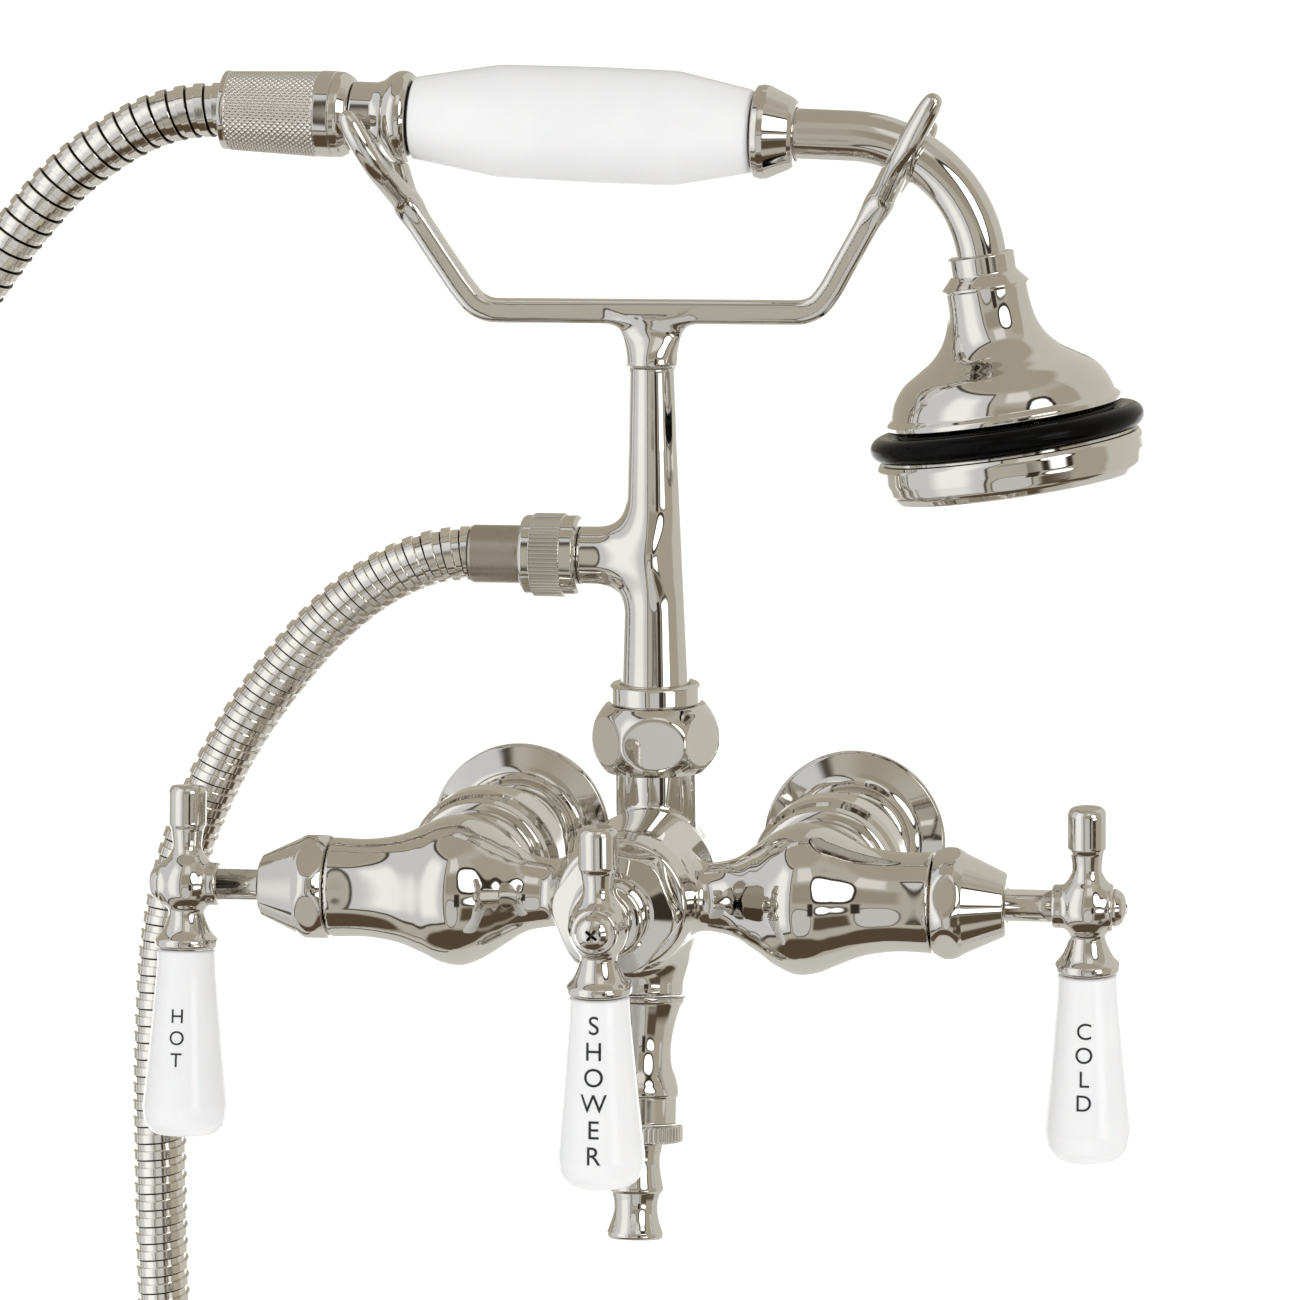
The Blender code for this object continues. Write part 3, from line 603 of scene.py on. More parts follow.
# ---- inlets ----
def inlet(side, name):
    wall = place((side * INLET_X, 0, 0), FRONT)
    flange = outline([
        (23.0, 0.0), (23.0, 1.1), (22.4, 1.6), (16.4, 2.5, 4), (14.4, 4.2, 1.5), (14.3, 8.6), (13.2, 9.6),
    ])
    flange = bored(flange, 12.6)
    turned(f"{name}_wall_flange", flange, wall, "faucet", [f"{name}_escutcheon"], sides=128)
    out = place((side * INLET_X, BODY_Y, 0), (0, 1, 0))
    nut = outline([
        (15.9, 24.7), (17.2, 25.4, 1), (17.8, 27.6, 1.2), (17.0, 29.6, 0.8), (18.2, 31.0, 1),
        (19.0, 32.2, 1.5), (19.0, 40.4, 1.5), (18.0, 42.0, 0.8), (16.9, 43.4, 0.8), (16.9, 50.4, 1),
        (15.2, 52.8, 0.5), (12.9, 52.8), (12.7, 50.0), (12.7, 43.2), (14.2, 43.0), (14.2, 24.7), (15.9, 24.7),
    ])
    turned(f"{name}_round_nut", nut[:-1], out, "faucet", [f"{name}_coupling_nut"])
    shank = outline([
        (13.9, 38.0), (13.9, 42.6), (12.3, 42.8), (12.3, 67.8), (10.4, 68.4), (10.4, 117.0), (9.6, 118.0),
    ])
    # Only the rings at the shank's end lie high enough to follow the thread.
    shank = bored(shank[:-2] + fine_lathe(shank[-2:], 0.4), 7.2)
    thread = threaded(pitch=1.814, depth=1.1, start=76)
    turned(f"{name}_threaded_shank", shank, out, "faucet", [f"{name}_shank"], sides=72, shape=thread)


def threaded(pitch, depth, start):
    """A V thread on rings above a height, where it fades in over a few millimetres."""
    def shape(radius, height, angle):
        if radius < 8 or height < start:
            return radius
        phase = (height / pitch + angle / (2 * math.pi)) % 1
        fade = min(1, (height - start) / 3)
        return radius - depth * fade * (1 - 2 * abs(phase - 0.5))

    return shape


# ---- valves ----
def hex_shape(across_flats, edge, above):
    """Turns a round section into a hexagon with eased edges, where its radius is above a limit."""
    def shape(radius, height, angle):
        if radius <= above:
            return radius
        wrapped = (angle + math.pi / 6) % (math.pi / 3) - math.pi / 6
        flat = across_flats / 2 / math.cos(wrapped)
        near = max(edge - abs(radius - flat), 0) / edge
        return min(radius, flat) - near * near * edge / 4

    return shape


def fine_lathe(points, step):
    """A profile with extra points, so that no stretch is longer than step."""
    out = []
    for low, high in zip(points, points[1:]):
        low, high = Vector(low), Vector(high)
        count = max(1, math.ceil((high - low).length / step))
        out += [tuple(low.lerp(high, k / count)) for k in range(count)]
    return out + [tuple(points[-1])]


def side_valve(side, name):
    where = place((0, BODY_Y, 0), (side, 0, 0), roll=41 if side > 0 else 42)
    nut = outline([(11.6, 73.6), (12.4, 74.0), (12.9, 75.0)], 0.3)
    nut += flow([(12.9, 75.0), (13.35, 76.2), (13.45, 77.5), (13.2, 78.9), (12.5, 80.3)])
    nut += outline([(12.5, 80.3), (11.9, 81.2, 0.8), (7.6, 90.5, 0.5), (6.9, 91.0)], 0.3)
    nut = bored(fine_lathe(nut, 0.4), STEM_BORE)
    hexed = hex_shape(across_flats=25.0, edge=0.35, above=11)
    turned(f"{name}_hex_bonnet", nut, where, "faucet", [f"{name}_bonnet_nut"], sides=216, shape=hexed)


def front_valve():
    cap = outline([
        (13.0, 14.1), (15.6, 14.6, 0.6), (15.9, 18.0, 2), (15.7, 21.4, 1), (14.6, 22.9, 0.8), (9.8, 24.4),
    ])
    cap = bored(fine_lathe(cap, 0.5), STEM_BORE)
    hexed = hex_shape(across_flats=27.8, edge=0.7, above=12)
    where = place((0, BODY_Y, 0), FRONT, roll=21.6)
    turned("front_hex_cap", cap, where, "faucet", ["diverter_bonnet"], sides=216, shape=hexed)
    packing = outline([(9.3, 24.3), (9.3, 25.2), (8.9, 25.8), (8.9, 32.2, 0.5), (8.2, 32.9)])
    where = place((0, BODY_Y, 0), FRONT)
    turned("front_packing_nut", bored(packing, STEM_BORE), where, "faucet", ["diverter_packing_nut"])


# ---- handles ----
def hub_profile():
    ball = [
        (3.6, -8.7), (4.2, -7.2), (5.6, -5.2), (6.8, -2.6), (7.2, 0.0), (6.8, 2.6), (5.7, 4.8), (4.6, 6.4),
        (4.4, 7.2),
    ]
    neck = [(4.7, 8.6), (5.4, 10.4), (6.4, 12.2), (7.6, 13.5)]
    stub = outline([
        (0, -24.0), (3.9, -24.0, 1.4), (4.6, -22.6, 1.5), (4.6, -14.4, 0.6), (4.0, -13.2, 0.6),
        (3.6, -10.4, 2),
    ])
    collar = outline([(7.6, 13.5), (7.75, 14.0), (7.75, 15.2, 0.4), (7.1, 15.7), (0, 15.7)], 0.25)
    return stub[:-1] + flow([(3.6, -10.4)] + ball + neck)[:-1] + collar


def handle(name, hub, axis, word, size, spacing):
    """Hub, spindle, screw and lettered lever of one valve."""
    body = f"{name}_handle"
    lever = place(hub, tilted(HANDLE_TILT[name], x_axis=False))
    shaft = place(hub, axis)
    boss = outline([(0, -8.2), (5.0, -8.2, 0.5), (5.2, -7.6), (5.2, -6.6, 0.4), (5.0, -3.0), (0, -3.0)])
    seat = outline([(0, 3.0), (5.6, 3.0), (5.5, 6.0, 0.4), (4.9, 6.3), (0, 6.3)])
    fields = [lathe_field(hub_profile(), lever), lathe_field(boss, shaft), lathe_field(seat, shaft)]
    top, foot, margin = lever @ Vector((0, 0, -25)), lever @ Vector((0, 0, 17)), 9
    low = [min(pair) - margin for pair in zip(top, foot)]
    high = [max(pair) + margin for pair in zip(top, foot)]
    field = blended(fields, size=0.8)
    casting(f"{name}_hub_casting", field, low, high, voxel=0.42, body=body, replaces=[f"{name}_hub"])

    screw(name, shaft, body)
    inner_end = -44.0 if name == "diverter" else 60.0 - HUB_X
    stem = outline([(3.3, inner_end), (STEM_RADIUS, inner_end + 1.0), (STEM_RADIUS, -6.0)])
    turned(f"{name}_spindle", solid(stem), shaft, body, [f"{name}_stem"], "stem_metal")

    profile = [(0, 16.1)] + outline([
        (2.6, 16.1), (6.6, 16.0, 0.5), (7.05, 16.5, 0.5), (7.3, 22.0, 20), (9.1, 42.0, 30), (10.4, 54.5, 5),
        (9.9, 58.6, 3.4), (7.4, 61.2, 3), (0, 61.6),
    ])
    turned(f"{name}_porcelain_lever", profile, lever, body, [f"{name}_lever"], "porcelain")
    letters(name, word, size, spacing, lever, profile, body)


def screw(name, shaft, body):
    """Domed screw head with a cross recess, which narrows inward. The recess walls are painted dark, as
    painted shade.
    """
    dome = outline([
        (0, 4.0), (1.9, 4.0), (1.9, 6.2), (4.5, 6.2, 0.2), (4.5, 6.9, 0.5), (3.6, 8.4, 2), (1.8, 9.3, 3),
        (0, 9.45),
    ])
    head = turned(f"{name}_cross_screw", dome, shaft, body, [f"{name}_screw"], sides=64)
    length, width, depth, middle, narrowing = 4.6, 1.0, 2.8, 9.4, 0.45
    bm = bmesh.new()
    for turn in (0, 90):
        spin = Matrix.Rotation(math.radians(52 + turn), 4, "Z")
        slot = spin @ Matrix.Translation((0, 0, middle)) @ Matrix.Diagonal((length, width, depth, 1))
        for v in bmesh.ops.create_cube(bm, size=1.0, matrix=slot)["verts"]:
            if v.co.z < middle:
                v.co.xy *= narrowing
    # The recess walls take the dark metal: painted shade in the recess.
    cut(head, bm, shaft, FINISH["painted_recess_shade"])


def cut(obj, bm, where, finish=None):
    """Cuts a tool's shape out of a piece. With a finish of its own, its parts may cross each other."""
    mesh = bpy.data.meshes.new("tool")
    bm.to_mesh(mesh)
    bm.free()
    mesh.transform(where)
    mesh.transform(Matrix.Scale(MM, 4))
    modifier = obj.modifiers.new("cut", "BOOLEAN")
    modifier.operation = "DIFFERENCE"
    modifier.solver = "EXACT"
    # The cut faces take the tool's finish. For the screw this is the dark metal, which is painted shade.
    if finish:
        mesh.materials.append(finish)
        modifier.material_mode = "TRANSFER"
        modifier.use_self = True
    modifier.object = linked("tool", mesh)
    graph = bpy.context.evaluated_depsgraph_get()
    result = bpy.data.meshes.new_from_object(obj.evaluated_get(graph))
    bpy.data.objects.remove(modifier.object, do_unlink=True)
    obj.modifiers.clear()
    old, obj.data = obj.data, result
    result.name = old.name
    bpy.data.meshes.remove(old)
    result.shade_smooth()
    result.set_sharp_from_angle(angle=math.radians(40))


def flat_letter(letter, size):
    """A letter of Blender's built-in font, a little thick, as an editable mesh."""
    curve = bpy.data.curves.new("letter", "FONT")
    curve.body = letter
    curve.size = size
    curve.extrude = 0.05
    curve.align_x = "CENTER"
    curve.align_y = "CENTER"
    text = linked("letter", curve)
    bpy.context.view_layer.update()
    graph = bpy.context.evaluated_depsgraph_get()
    mesh = bpy.data.meshes.new_from_object(text.evaluated_get(graph))
    glyph = bmesh.new()
    glyph.from_mesh(mesh)
    bmesh.ops.remove_doubles(glyph, verts=glyph.verts, dist=1e-4)
    bpy.data.meshes.remove(mesh)
    bpy.data.objects.remove(text, do_unlink=True)
    return glyph


def letters(name, word, size, spacing, lever, profile, body):
    """A plain function word printed down the front of a lever, in narrow strips wrapped round the glaze."""
    middle, strip, relief, lift = 37.0, 0.31, 0.9, 0.02
    radii = np.array([p for p in profile if p[1] > 16.4 and p[0] > 1])
    to_lever = lever.inverted().to_3x3()
    front, right = to_lever @ FRONT, to_lever @ Vector((1, 0, 0))
    facing = math.atan2(front.y, front.x)
    sense = 1 if math.sin(math.atan2(right.y, right.x) - facing) > 0 else -1
    points, faces = [], []
    for i, letter in enumerate(word):
        glyph = flat_letter(letter, size)
        for k in range(-8, 9):
            everything = glyph.verts[:] + glyph.edges[:] + glyph.faces[:]
            bmesh.ops.bisect_plane(glyph, geom=everything, plane_co=(strip * k, 0, 0), plane_no=(1, 0, 0))
        heights = [v.co.y for v in glyph.verts]
        centre = (min(heights) + max(heights)) / 2
        shift = middle + (i - (len(word) - 1) / 2) * spacing
        glyph.verts.index_update()
        faces += [tuple(len(points) + v.index for v in f.verts) for f in glyph.faces]
        for v in glyph.verts:
            along = shift - (v.co.y - centre)
            radius = float(np.interp(along, radii[:, 1], radii[:, 0])) + v.co.z * relief + lift
            angle = facing + sense * v.co.x / radius
            points.append((radius * math.cos(angle), radius * math.sin(angle), along))
        glyph.free()
    printed = outward(piece(f"{name}_print", points, faces, lever, body, "ink"))
    printed.data.shade_flat()


# ---- outlet ----
def ribbed(count, depth, low, high):
    """Straight ribs along the axis, between two heights, on the outer face."""
    steepness = 3.2

    def shape(radius, height, angle):
        if not low < height < high or radius < 8:
            return radius
        phase = (angle * count / (2 * math.pi)) % 1
        return radius - depth * (1 - min(1.0, steepness * min(phase, 1 - phase)))

    return shape


def outlet():
    where = place(OUTLET_ORIGIN, OUTLET_AXIS)
    spout = outline([(11.0, 27.1), (11.2, 27.5), (11.2, 28.3), (10.9, 28.7)], 0.3)
    spout += flow([
        (10.7, 29.2), (9.7, 32.0), (8.5, 37.0), (8.2, 41.0), (8.7, 44.6), (9.8, 48.0), (10.3, 50.0),
        (10.3, 50.9),
    ])
    spout += outline([(10.3, 50.9), (10.0, 51.3), (9.8, 51.7), (9.8, 57.6), (9.5, 58.0)], 0.2)
    turned("waisted_spout", bored(spout, 6.0), where, "faucet", ["spout_tube"])
    ring = fine_lathe(outline([(10.6, 58.3), (11.1, 58.6), (11.1, 62.3), (10.6, 62.6)], 0.2), 0.5)
    ring, ribs = bored(ring, 6.2), ribbed(count=54, depth=0.5, low=58.7, high=62.2)
    turned("outlet_ribbed_ring", ring, where, "faucet", ["spout_knurled_ring"], sides=432, shape=ribs)
    nozzle = [(5.8, 60.6), (5.8, 62.8)]
    nozzle += flow([(6.5, 63.0), (6.3, 64.4), (5.9, 66.4), (6.1, 69.4), (6.7, 72.4), (6.9, 73.4)])
    nozzle += outline([(6.9, 73.4), (6.9, 74.3), (6.3, 74.7)], 0.2)
    nozzle += flow([(6.2, 75.0), (5.6, 77.2), (5.5, 78.6), (5.9, 81.2), (6.7, 83.8)])
    nozzle += outline([(6.7, 83.8), (7.0, 84.5), (7.0, 85.4), (6.6, 86.0)], 0.3)
    turned("flared_nozzle", bored(nozzle, 4.3), where, "faucet", ["spout_nozzle"])


# ---- riser ----
def riser():
    where = place((0, RISER_Y, 0), UP)
    widest, bulge, middle = 15.8, 0.052, 32.8
    heights = (-8.2, -7.0, -5.5, -3.5, -1.2, 1.2, 3.5, 5.5, 7.0, 8.2)
    nut = flow([(widest - bulge * h * h, middle + h) for h in heights])
    nut, hexed = bored(fine_lathe(nut, 0.4), 8.9), hex_shape(across_flats=27.4, edge=0.4, above=11)
    turned_nut = place((0, RISER_Y, 0), UP, roll=-82)
    turned("riser_hex_nut", nut, turned_nut, "faucet", ["riser_union_nut"], sides=240, shape=hexed)
    collar = outline([(10.9, 41.3), (11.1, 41.6), (11.1, 45.6, 0.5), (10.5, 46.2)])
    turned("riser_ring", bored(collar, 8.75), where, "faucet", ["riser_collar"])

    column = [
        (0, 31.5), (8.4, 31.5), (8.4, 46.0), (7.6, 66.0), (6.9, 84.0), (6.1, 104.0), (5.5, 123.9), (0, 123.9),
    ]
    arm = [(0, 0.0), (7.3, 0.0), (7.1, 8.0), (7.05, 18.1), (6.5, 18.3), (6.5, 27.0), (0, 27.0)]
    side = place(SIDE_ARM, (-1, 0, 0))
    fields = [lathe_field(outline(column, 0.3), where), lathe_field(outline(arm, 0.2), side)]
    low, high = (-29.0, RISER_Y - 10, 30.0), (10.0, RISER_Y + 10, 125.5)
    field = blended(fields, size=7.5)
    casting("riser_tee", field, low, high, voxel=0.6, body="faucet", replaces=["riser_column"])

    nut = outline([
        (7.6, 18.2), (9.0, 18.2, 0.6), (9.7, 19.0, 0.4), (9.7, 22.0, 0.05), (10.2, 22.1, 0.1),
        (10.2, 29.5, 0.1), (9.7, 29.6, 0.05), (9.7, 31.6, 0.5), (9.2, 32.3, 0.4), (6.6, 32.3), (6.6, 31.0),
        (7.0, 28.0), (7.0, 18.2), (7.6, 18.2),
    ], 0.2)[:-1]
    nut, ribs = fine_lathe(nut + [nut[0]], 0.8)[:-1], ribbed(count=60, depth=0.45, low=22.05, high=29.55)
    turned("hose_ribbed_nut", nut, side, "faucet", ["hose_union_nut"], sides=480, shape=ribs)
    ferrule = outline([
        (6.2, 30.9), (6.2, 32.6), (7.0, 32.7, 0.3), (7.1, 33.4), (7.1, 44.6, 0.3), (6.9, 45.2), (5.0, 45.2),
    ], 0.2)
    turned("hose_sleeve", bored(ferrule, 3.6), side, "faucet", ["hose_ferrule"], "satin_nickel")


# ---- cradle ----
def gusset_field():
    """About the signed distance to the stem under the bar: round at its foot, wide and thin at the bar."""
    foot, top, round_up_to, change = 124.2, 134.8, 126.0, 8.5
    radius, widening, thinning = 6.4, 1.2, 3.2

    def field(points):
        height = points[:, 2]
        share = np.clip((height - round_up_to) / change, 0, 1)
        share = share * share * (3 - 2 * share)
        wide, deep = radius + widening * share, radius - thinning * share
        across, over = points[:, 0] / wide, (points[:, 1] - RISER_Y) / deep
        reach = np.hypot(across, over)
        steep = np.hypot(across / wide, over / deep) + 1e-6
        side = np.where(reach < 1e-3, -deep, reach * (reach - 1) / steep)
        return np.maximum(side, np.maximum(foot - height, height - top))

    return field


def cradle():
    left_crotch, right_crotch = Vector((-60.2, 162.7)), Vector((56.0, 164.0))
    bar = [
        (-59.3, 161.3), (-50.0, 147.3), (-46.2, 141.9), (-43.4, 138.9), (-40.2, 137.5), (-36.8, 137.3),
        (-33.0, 137.3), (30.0, 137.3), (33.8, 137.3), (37.4, 137.5), (40.7, 138.9), (43.5, 142.1),
        (47.0, 148.1), (55.2, 162.6),
    ]
    bar = bar_field(flow(bar, 4), half=(2.9, 3.2), corner=1.7)
    fields = [blended([bar, gusset_field()], size=4.2)]
    prongs = (
        (left_crotch, (-71.6, 184.4), -13.6), (left_crotch, (-72.4, 184.2), 13.6),
        (right_crotch, (70.4, 188.6), -12.6), (right_crotch, (66.2, 181.0), 10.8),
    )
    opening = ((0.0, 0.03), (0.12, 0.19), (0.28, 0.47), (0.45, 0.74), (0.7, 0.93), (0.92, 0.99), (1.0, 1.0))
    slim = (1.6, 2.9, 3.1, 3.1, 3.1, 3.0, 2.8, 2.3)
    blunt = (1.6, 2.9, 3.3, 3.3, 3.1, 2.9, 2.7, 2.3)
    for crotch, tip, spread in prongs:
        path = [Vector((crotch.x - math.copysign(2.6, crotch.x), RISER_Y, crotch.y - 4.2))]
        for share, open_share in opening:
            x, z = crotch.lerp(Vector(tip), share)
            path.append(Vector((x, RISER_Y + spread * open_share, z)))
        radii = flow([(radius, 3.0 * i) for i, radius in enumerate(slim if tip[0] < 0 else blunt)], 6)
        fields.append(prong_field(smooth_curve(path, 6), [radius for radius, _ in radii]))
    low, high = (-78.0, RISER_Y - 18, 122.0), (78.0, RISER_Y + 18, 197.0)
    field = blended(fields, size=2.2)
    casting("fork_cradle", field, low, high, voxel=0.6, body="faucet", replaces=["handset_cradle"])


# ---- handset ----
def diamond(count, pitch, depth, low, high):
    """Crossed knurl: two sets of helical grooves."""
    steepness = 2.6

    def shape(radius, height, angle):
        if not low < height < high or radius < 8:
            return radius
        turn, step = angle * count / (2 * math.pi), (height - low) / pitch
        a, b = (turn + step) % 1, (turn - step) % 1
        return radius - depth * (1 - min(1.0, steepness * min(a, 1 - a, b, 1 - b)))

    return shape


def handset():
    along = place(HANDSET_ORIGIN, HANDSET_AXIS)
    smooth_end = outline([
        (8.6, -105.8), (9.7, -105.4, 0.3), (9.7, -104.2, 0.1), (9.45, -104.0, 0.1), (9.5, -103.8),
    ], 0.2)
    steps, radius, widening, low, length = 150, 9.65, 0.8, -103.7, 21.9
    band = [(radius + widening * k / steps, low + length * k / steps) for k in range(steps)]
    front_end = outline([
        (10.4, -81.7), (10.3, -81.6), (10.6, -81.3, 0.1), (10.6, -77.9, 0.1), (10.3, -77.7, 0.1),
        (10.55, -77.5, 0.1), (10.45, -75.8, 2), (9.3, -73.8, 1.2), (8.6, -73.4),
    ], 0.2)
    nut = bored(smooth_end + band + front_end, 6.2)
    knurl = diamond(count=42, pitch=1.5, depth=0.5, low=-103.75, high=-81.75)
    turned("handset_knurled_nut", nut, along, "hose_nut", ["handset_hose_nut"], sides=336, shape=knurl)
    ferrule = outline([
        (5.8, -90.2), (5.8, -73.2), (8.3, -73.1, 0.3), (8.3, -67.6, 1.5), (8.9, -65.8, 1.5),
    ], 0.2)
    ferrule += flow([
        (9.3, -65.2), (10.4, -63.9), (11.2, -62.4), (11.35, -61.0), (11.1, -59.8), (10.5, -58.9),
    ])
    turned("handset_flared_collar", bored(ferrule, 5.3), along, "handset", ["handset_ferrule"])
    grip = outline([
        (9.4, -58.2), (10.0, -57.9, 0.5), (10.4, -56.2, 3), (13.75, -37.5, 22), (14.1, -14.0, 60),
        (13.95, 6.5, 16), (10.3, 24.0, 3), (9.8, 25.2),
    ])
    turned("porcelain_grip", bored(grip, 5.4), along, "handset", ["handset_grip"], "porcelain")
    cap = outline([
        (10.6, 25.9), (11.2, 26.2, 0.4), (11.5, 27.6, 1), (11.3, 29.0, 0.6), (8.7, 34.6, 0.6),
        (8.0, 35.5, 0.4), (7.4, 35.8),
    ])
    turned("handset_cap", bored(cap, 6.45), along, "handset", ["handset_cap_nut"])
    bent_tube()
    shower_head()


def bent_tube():
    """The handset's inner tube, which leaves the cap nut and bends down to the head."""
    down = Vector((HANDSET_AXIS.z, 0, -HANDSET_AXIS.x))
    turn = HANDSET_AXIS.angle(HEAD_AXIS)
    offset = HEAD_TOP - HANDSET_ORIGIN
    bend = offset.dot(down) / (1 - math.cos(turn))
    start = offset.dot(HANDSET_AXIS) - bend * math.sin(turn)
    stations = [(-65.4, 5.0), (-20.0, 5.0), (25.2, 5.0)] + [(s, TUBE_RADIUS) for s in (25.6, 36.5, start)]
    path = [(HANDSET_ORIGIN + HANDSET_AXIS * s, radius) for s, radius in stations]
    steps, sides, wall, overlap = 48, 64, 1.4, 5.0
    for k in range(1, steps + 1):
        angle = turn * k / steps
        point = HANDSET_ORIGIN + HANDSET_AXIS * (start + bend * math.sin(angle))
        path.append((point + down * bend * (1 - math.cos(angle)), TUBE_RADIUS))
    path.append((path[-1][0] + HEAD_AXIS * overlap, TUBE_RADIUS))
    rows = [(i, 0.0) for i in range(len(path))] + [(i, wall) for i in reversed(range(len(path)))]
    sideways = Vector((0, 1, 0))
    points = []
    for i, inward in rows:
        before, after = path[max(i - 1, 0)][0], path[min(i + 1, len(path) - 1)][0]
        across = sideways.cross((after - before).normalized()).normalized()
        for j in range(sides):
            angle = 2 * math.pi * j / sides
            ray = across * math.cos(angle) + sideways * math.sin(angle)
            points.append(path[i][0] + ray * (path[i][1] - inward))
    faces = band_faces(len(rows), sides)
    outward(piece("bent_tube", points, faces, Matrix.Identity(4), "handset", "nickel", ["handset_tube"]))


def shower_head():
    where = place(HEAD_TOP, HEAD_AXIS)
    round_sides = 160
    bell = outline([
        (7.6, 0.0), (8.0, 0.4), (8.0, 4.6, 0.6), (8.6, 5.4, 1), (10.2, 7.2, 0.4), (10.5, 7.5),
        (10.5, 8.0, 0.2),
    ], 0.3)
    bell += flow([
        (10.3, 8.3), (10.2, 10.0), (10.3, 14.0), (10.9, 17.0), (12.6, 20.6), (15.4, 23.8), (19.2, 26.4),
        (23.1, 29.0), (25.8, 32.6), (26.9, 35.4), (27.2, 36.4),
    ])
    bell += outline([
        (27.2, 36.4), (27.6, 36.9), (28.4, 37.6, 0.8), (28.4, 38.9, 0.8), (27.4, 39.6), (26.2, 39.8),
        (26.2, 48.4), (24.6, 48.4), (24.6, 36.0), (22.0, 31.2, 3), (10.0, 21.4, 3), (8.4, 9.0), (6.45, 8.0),
        (6.45, 0.0),
    ], 0.3)
    turned("head_bell", bell, where, "handset", ["shower_bell"], sides=round_sides)
    angles = [2 * math.pi * k / 32 for k in range(32)]
    ring = [(29.9 + 3.3 * math.cos(a), 43.1 + 3.0 * math.sin(a)) for a in angles]
    turned("black_ring", ring, where, "handset", ["bumper_ring"], "black_rubber", round_sides)
    cup = outline([
        (26.6, 46.6), (31.5, 46.6, 0.5), (32.2, 47.8, 1.5), (32.4, 51.2, 5), (31.9, 54.2, 2.6),
        (30.2, 56.2, 1.8), (29.2, 56.2, 0.5), (28.4, 55.0), (28.4, 48.9), (26.6, 48.9), (26.6, 46.6),
    ], 0.3)[:-1]
    turned("head_cup", cup, where, "handset", ["shower_face_cup"], sides=round_sides)
    plate = outline([
        (0, 51.0), (28.0, 51.0), (28.0, 52.4, 0.3), (20.0, 53.4, 20), (12.0, 53.9, 20), (0, 54.1),
    ])
    disc = turned("perforated_plate", plate, where, "handset", ["spray_plate"])
    rings, spacing, hole, depth, middle = 4, 5.8, 0.75, 6.0, 52.5
    bm = bmesh.new()
    for ring in range(1, rings + 1):
        for k in range(6 * ring):
            angle, reach = 2 * math.pi * (k + 0.5 * (ring % 2)) / (6 * ring), spacing * ring
            at = Matrix.Translation((reach * math.cos(angle), reach * math.sin(angle), middle))
            bmesh.ops.create_cone(
                bm, cap_ends=True, segments=16, radius1=hole, radius2=hole, depth=depth, matrix=at,
            )
    cut(disc, bm, where)


# ---- hose ----
def hose():
    """Interlocked metal hose: one long strip wound on the route, each turn a raised band and a deep gap, dark
    from its depth and from painted shade on its faces.
    """
    route = [Vector((x, RISER_Y, z)) for x, z in HOSE_ROUTE]
    fine = smooth_curve(route, start=Vector((-1, 0, 0)), end=HANDSET_AXIS)
    lengths = np.concatenate([[0], np.cumsum([(b - a).length for a, b in zip(fine, fine[1:])])])
    line = np.array(fine)
    total = lengths[-1]
    tangents = np.gradient(line, lengths, axis=0)
    tangents /= np.linalg.norm(tangents, axis=1)[:, None]

    # One turn of the strip: share of the pitch, radius. The faces after points 4, 5 and 6 line its gap and
    # get the dark metal, which is painted shade.
    full, gap_floor = HOSE_DIAMETER / 2, HOSE_DIAMETER / 2 - 1.6
    strip = [
        (0.00, full - 0.70), (0.02, full - 0.08), (0.045, full), (0.50, full), (0.53, full - 0.10),
        (0.545, gap_floor), (0.62, gap_floor), (0.64, full - 0.72),
    ]
    gap = (4, 5, 6)
    sides = 40
    steps = (math.ceil(total / HOSE_PITCH) + 2) * sides
    step = np.arange(steps + 1)
    angle = 2 * np.pi * step[:, None] / sides
    sideways = np.array([0.0, 1.0, 0.0])
    rows = []
    for share, radius in strip:
        at = np.clip((step / sides - 1 + share) * HOSE_PITCH, 0, total)
        centre = np.stack([np.interp(at, lengths, line[:, i]) for i in range(3)], 1)
        tangent = np.stack([np.interp(at, lengths, tangents[:, i]) for i in range(3)], 1)
        tangent /= np.linalg.norm(tangent, axis=1)[:, None]
        across = np.cross(sideways, tangent)
        rows.append(centre + radius * (across * np.cos(angle) + sideways * np.sin(angle)))
    points = np.stack(rows, 1).reshape(-1, 3)
    corners = len(strip)
    # dark marks the gap faces that get painted shade.
    faces, dark = [], []
    for m in range(0, steps * corners, corners):
        for i in range(corners - 1):
            faces.append((m + i, m + corners + i, m + corners + i + 1, m + i + 1))
            dark.append(int(i in gap))
        turn_on = m + sides * corners
        if turn_on < steps * corners:
            faces.append((m + corners - 1, m + 2 * corners - 1, turn_on + corners, turn_on))
            dark.append(0)
    tube = piece("metal_hose", points.tolist(), faces, Matrix.Identity(4), None, "hose_metal", ["hose"])
    # The gap's faces get the dark metal: painted shade over the real shade of the deep gap.
    tube.data.materials.append(FINISH["painted_recess_shade"])
    tube.data.polygons.foreach_set("material_index", dark)
    bm = bmesh.new()
    bm.from_mesh(tube.data)
    bmesh.ops.remove_doubles(bm, verts=bm.verts, dist=2e-6)
    bmesh.ops.holes_fill(bm, edges=[e for e in bm.edges if e.is_boundary], sides=0)
    bmesh.ops.recalc_face_normals(bm, faces=bm.faces)
    bm.to_mesh(tube.data)
    bm.free()
    tube.data.shade_smooth()
    tube.data.set_sharp_from_angle(angle=math.radians(26))
    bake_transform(tube)


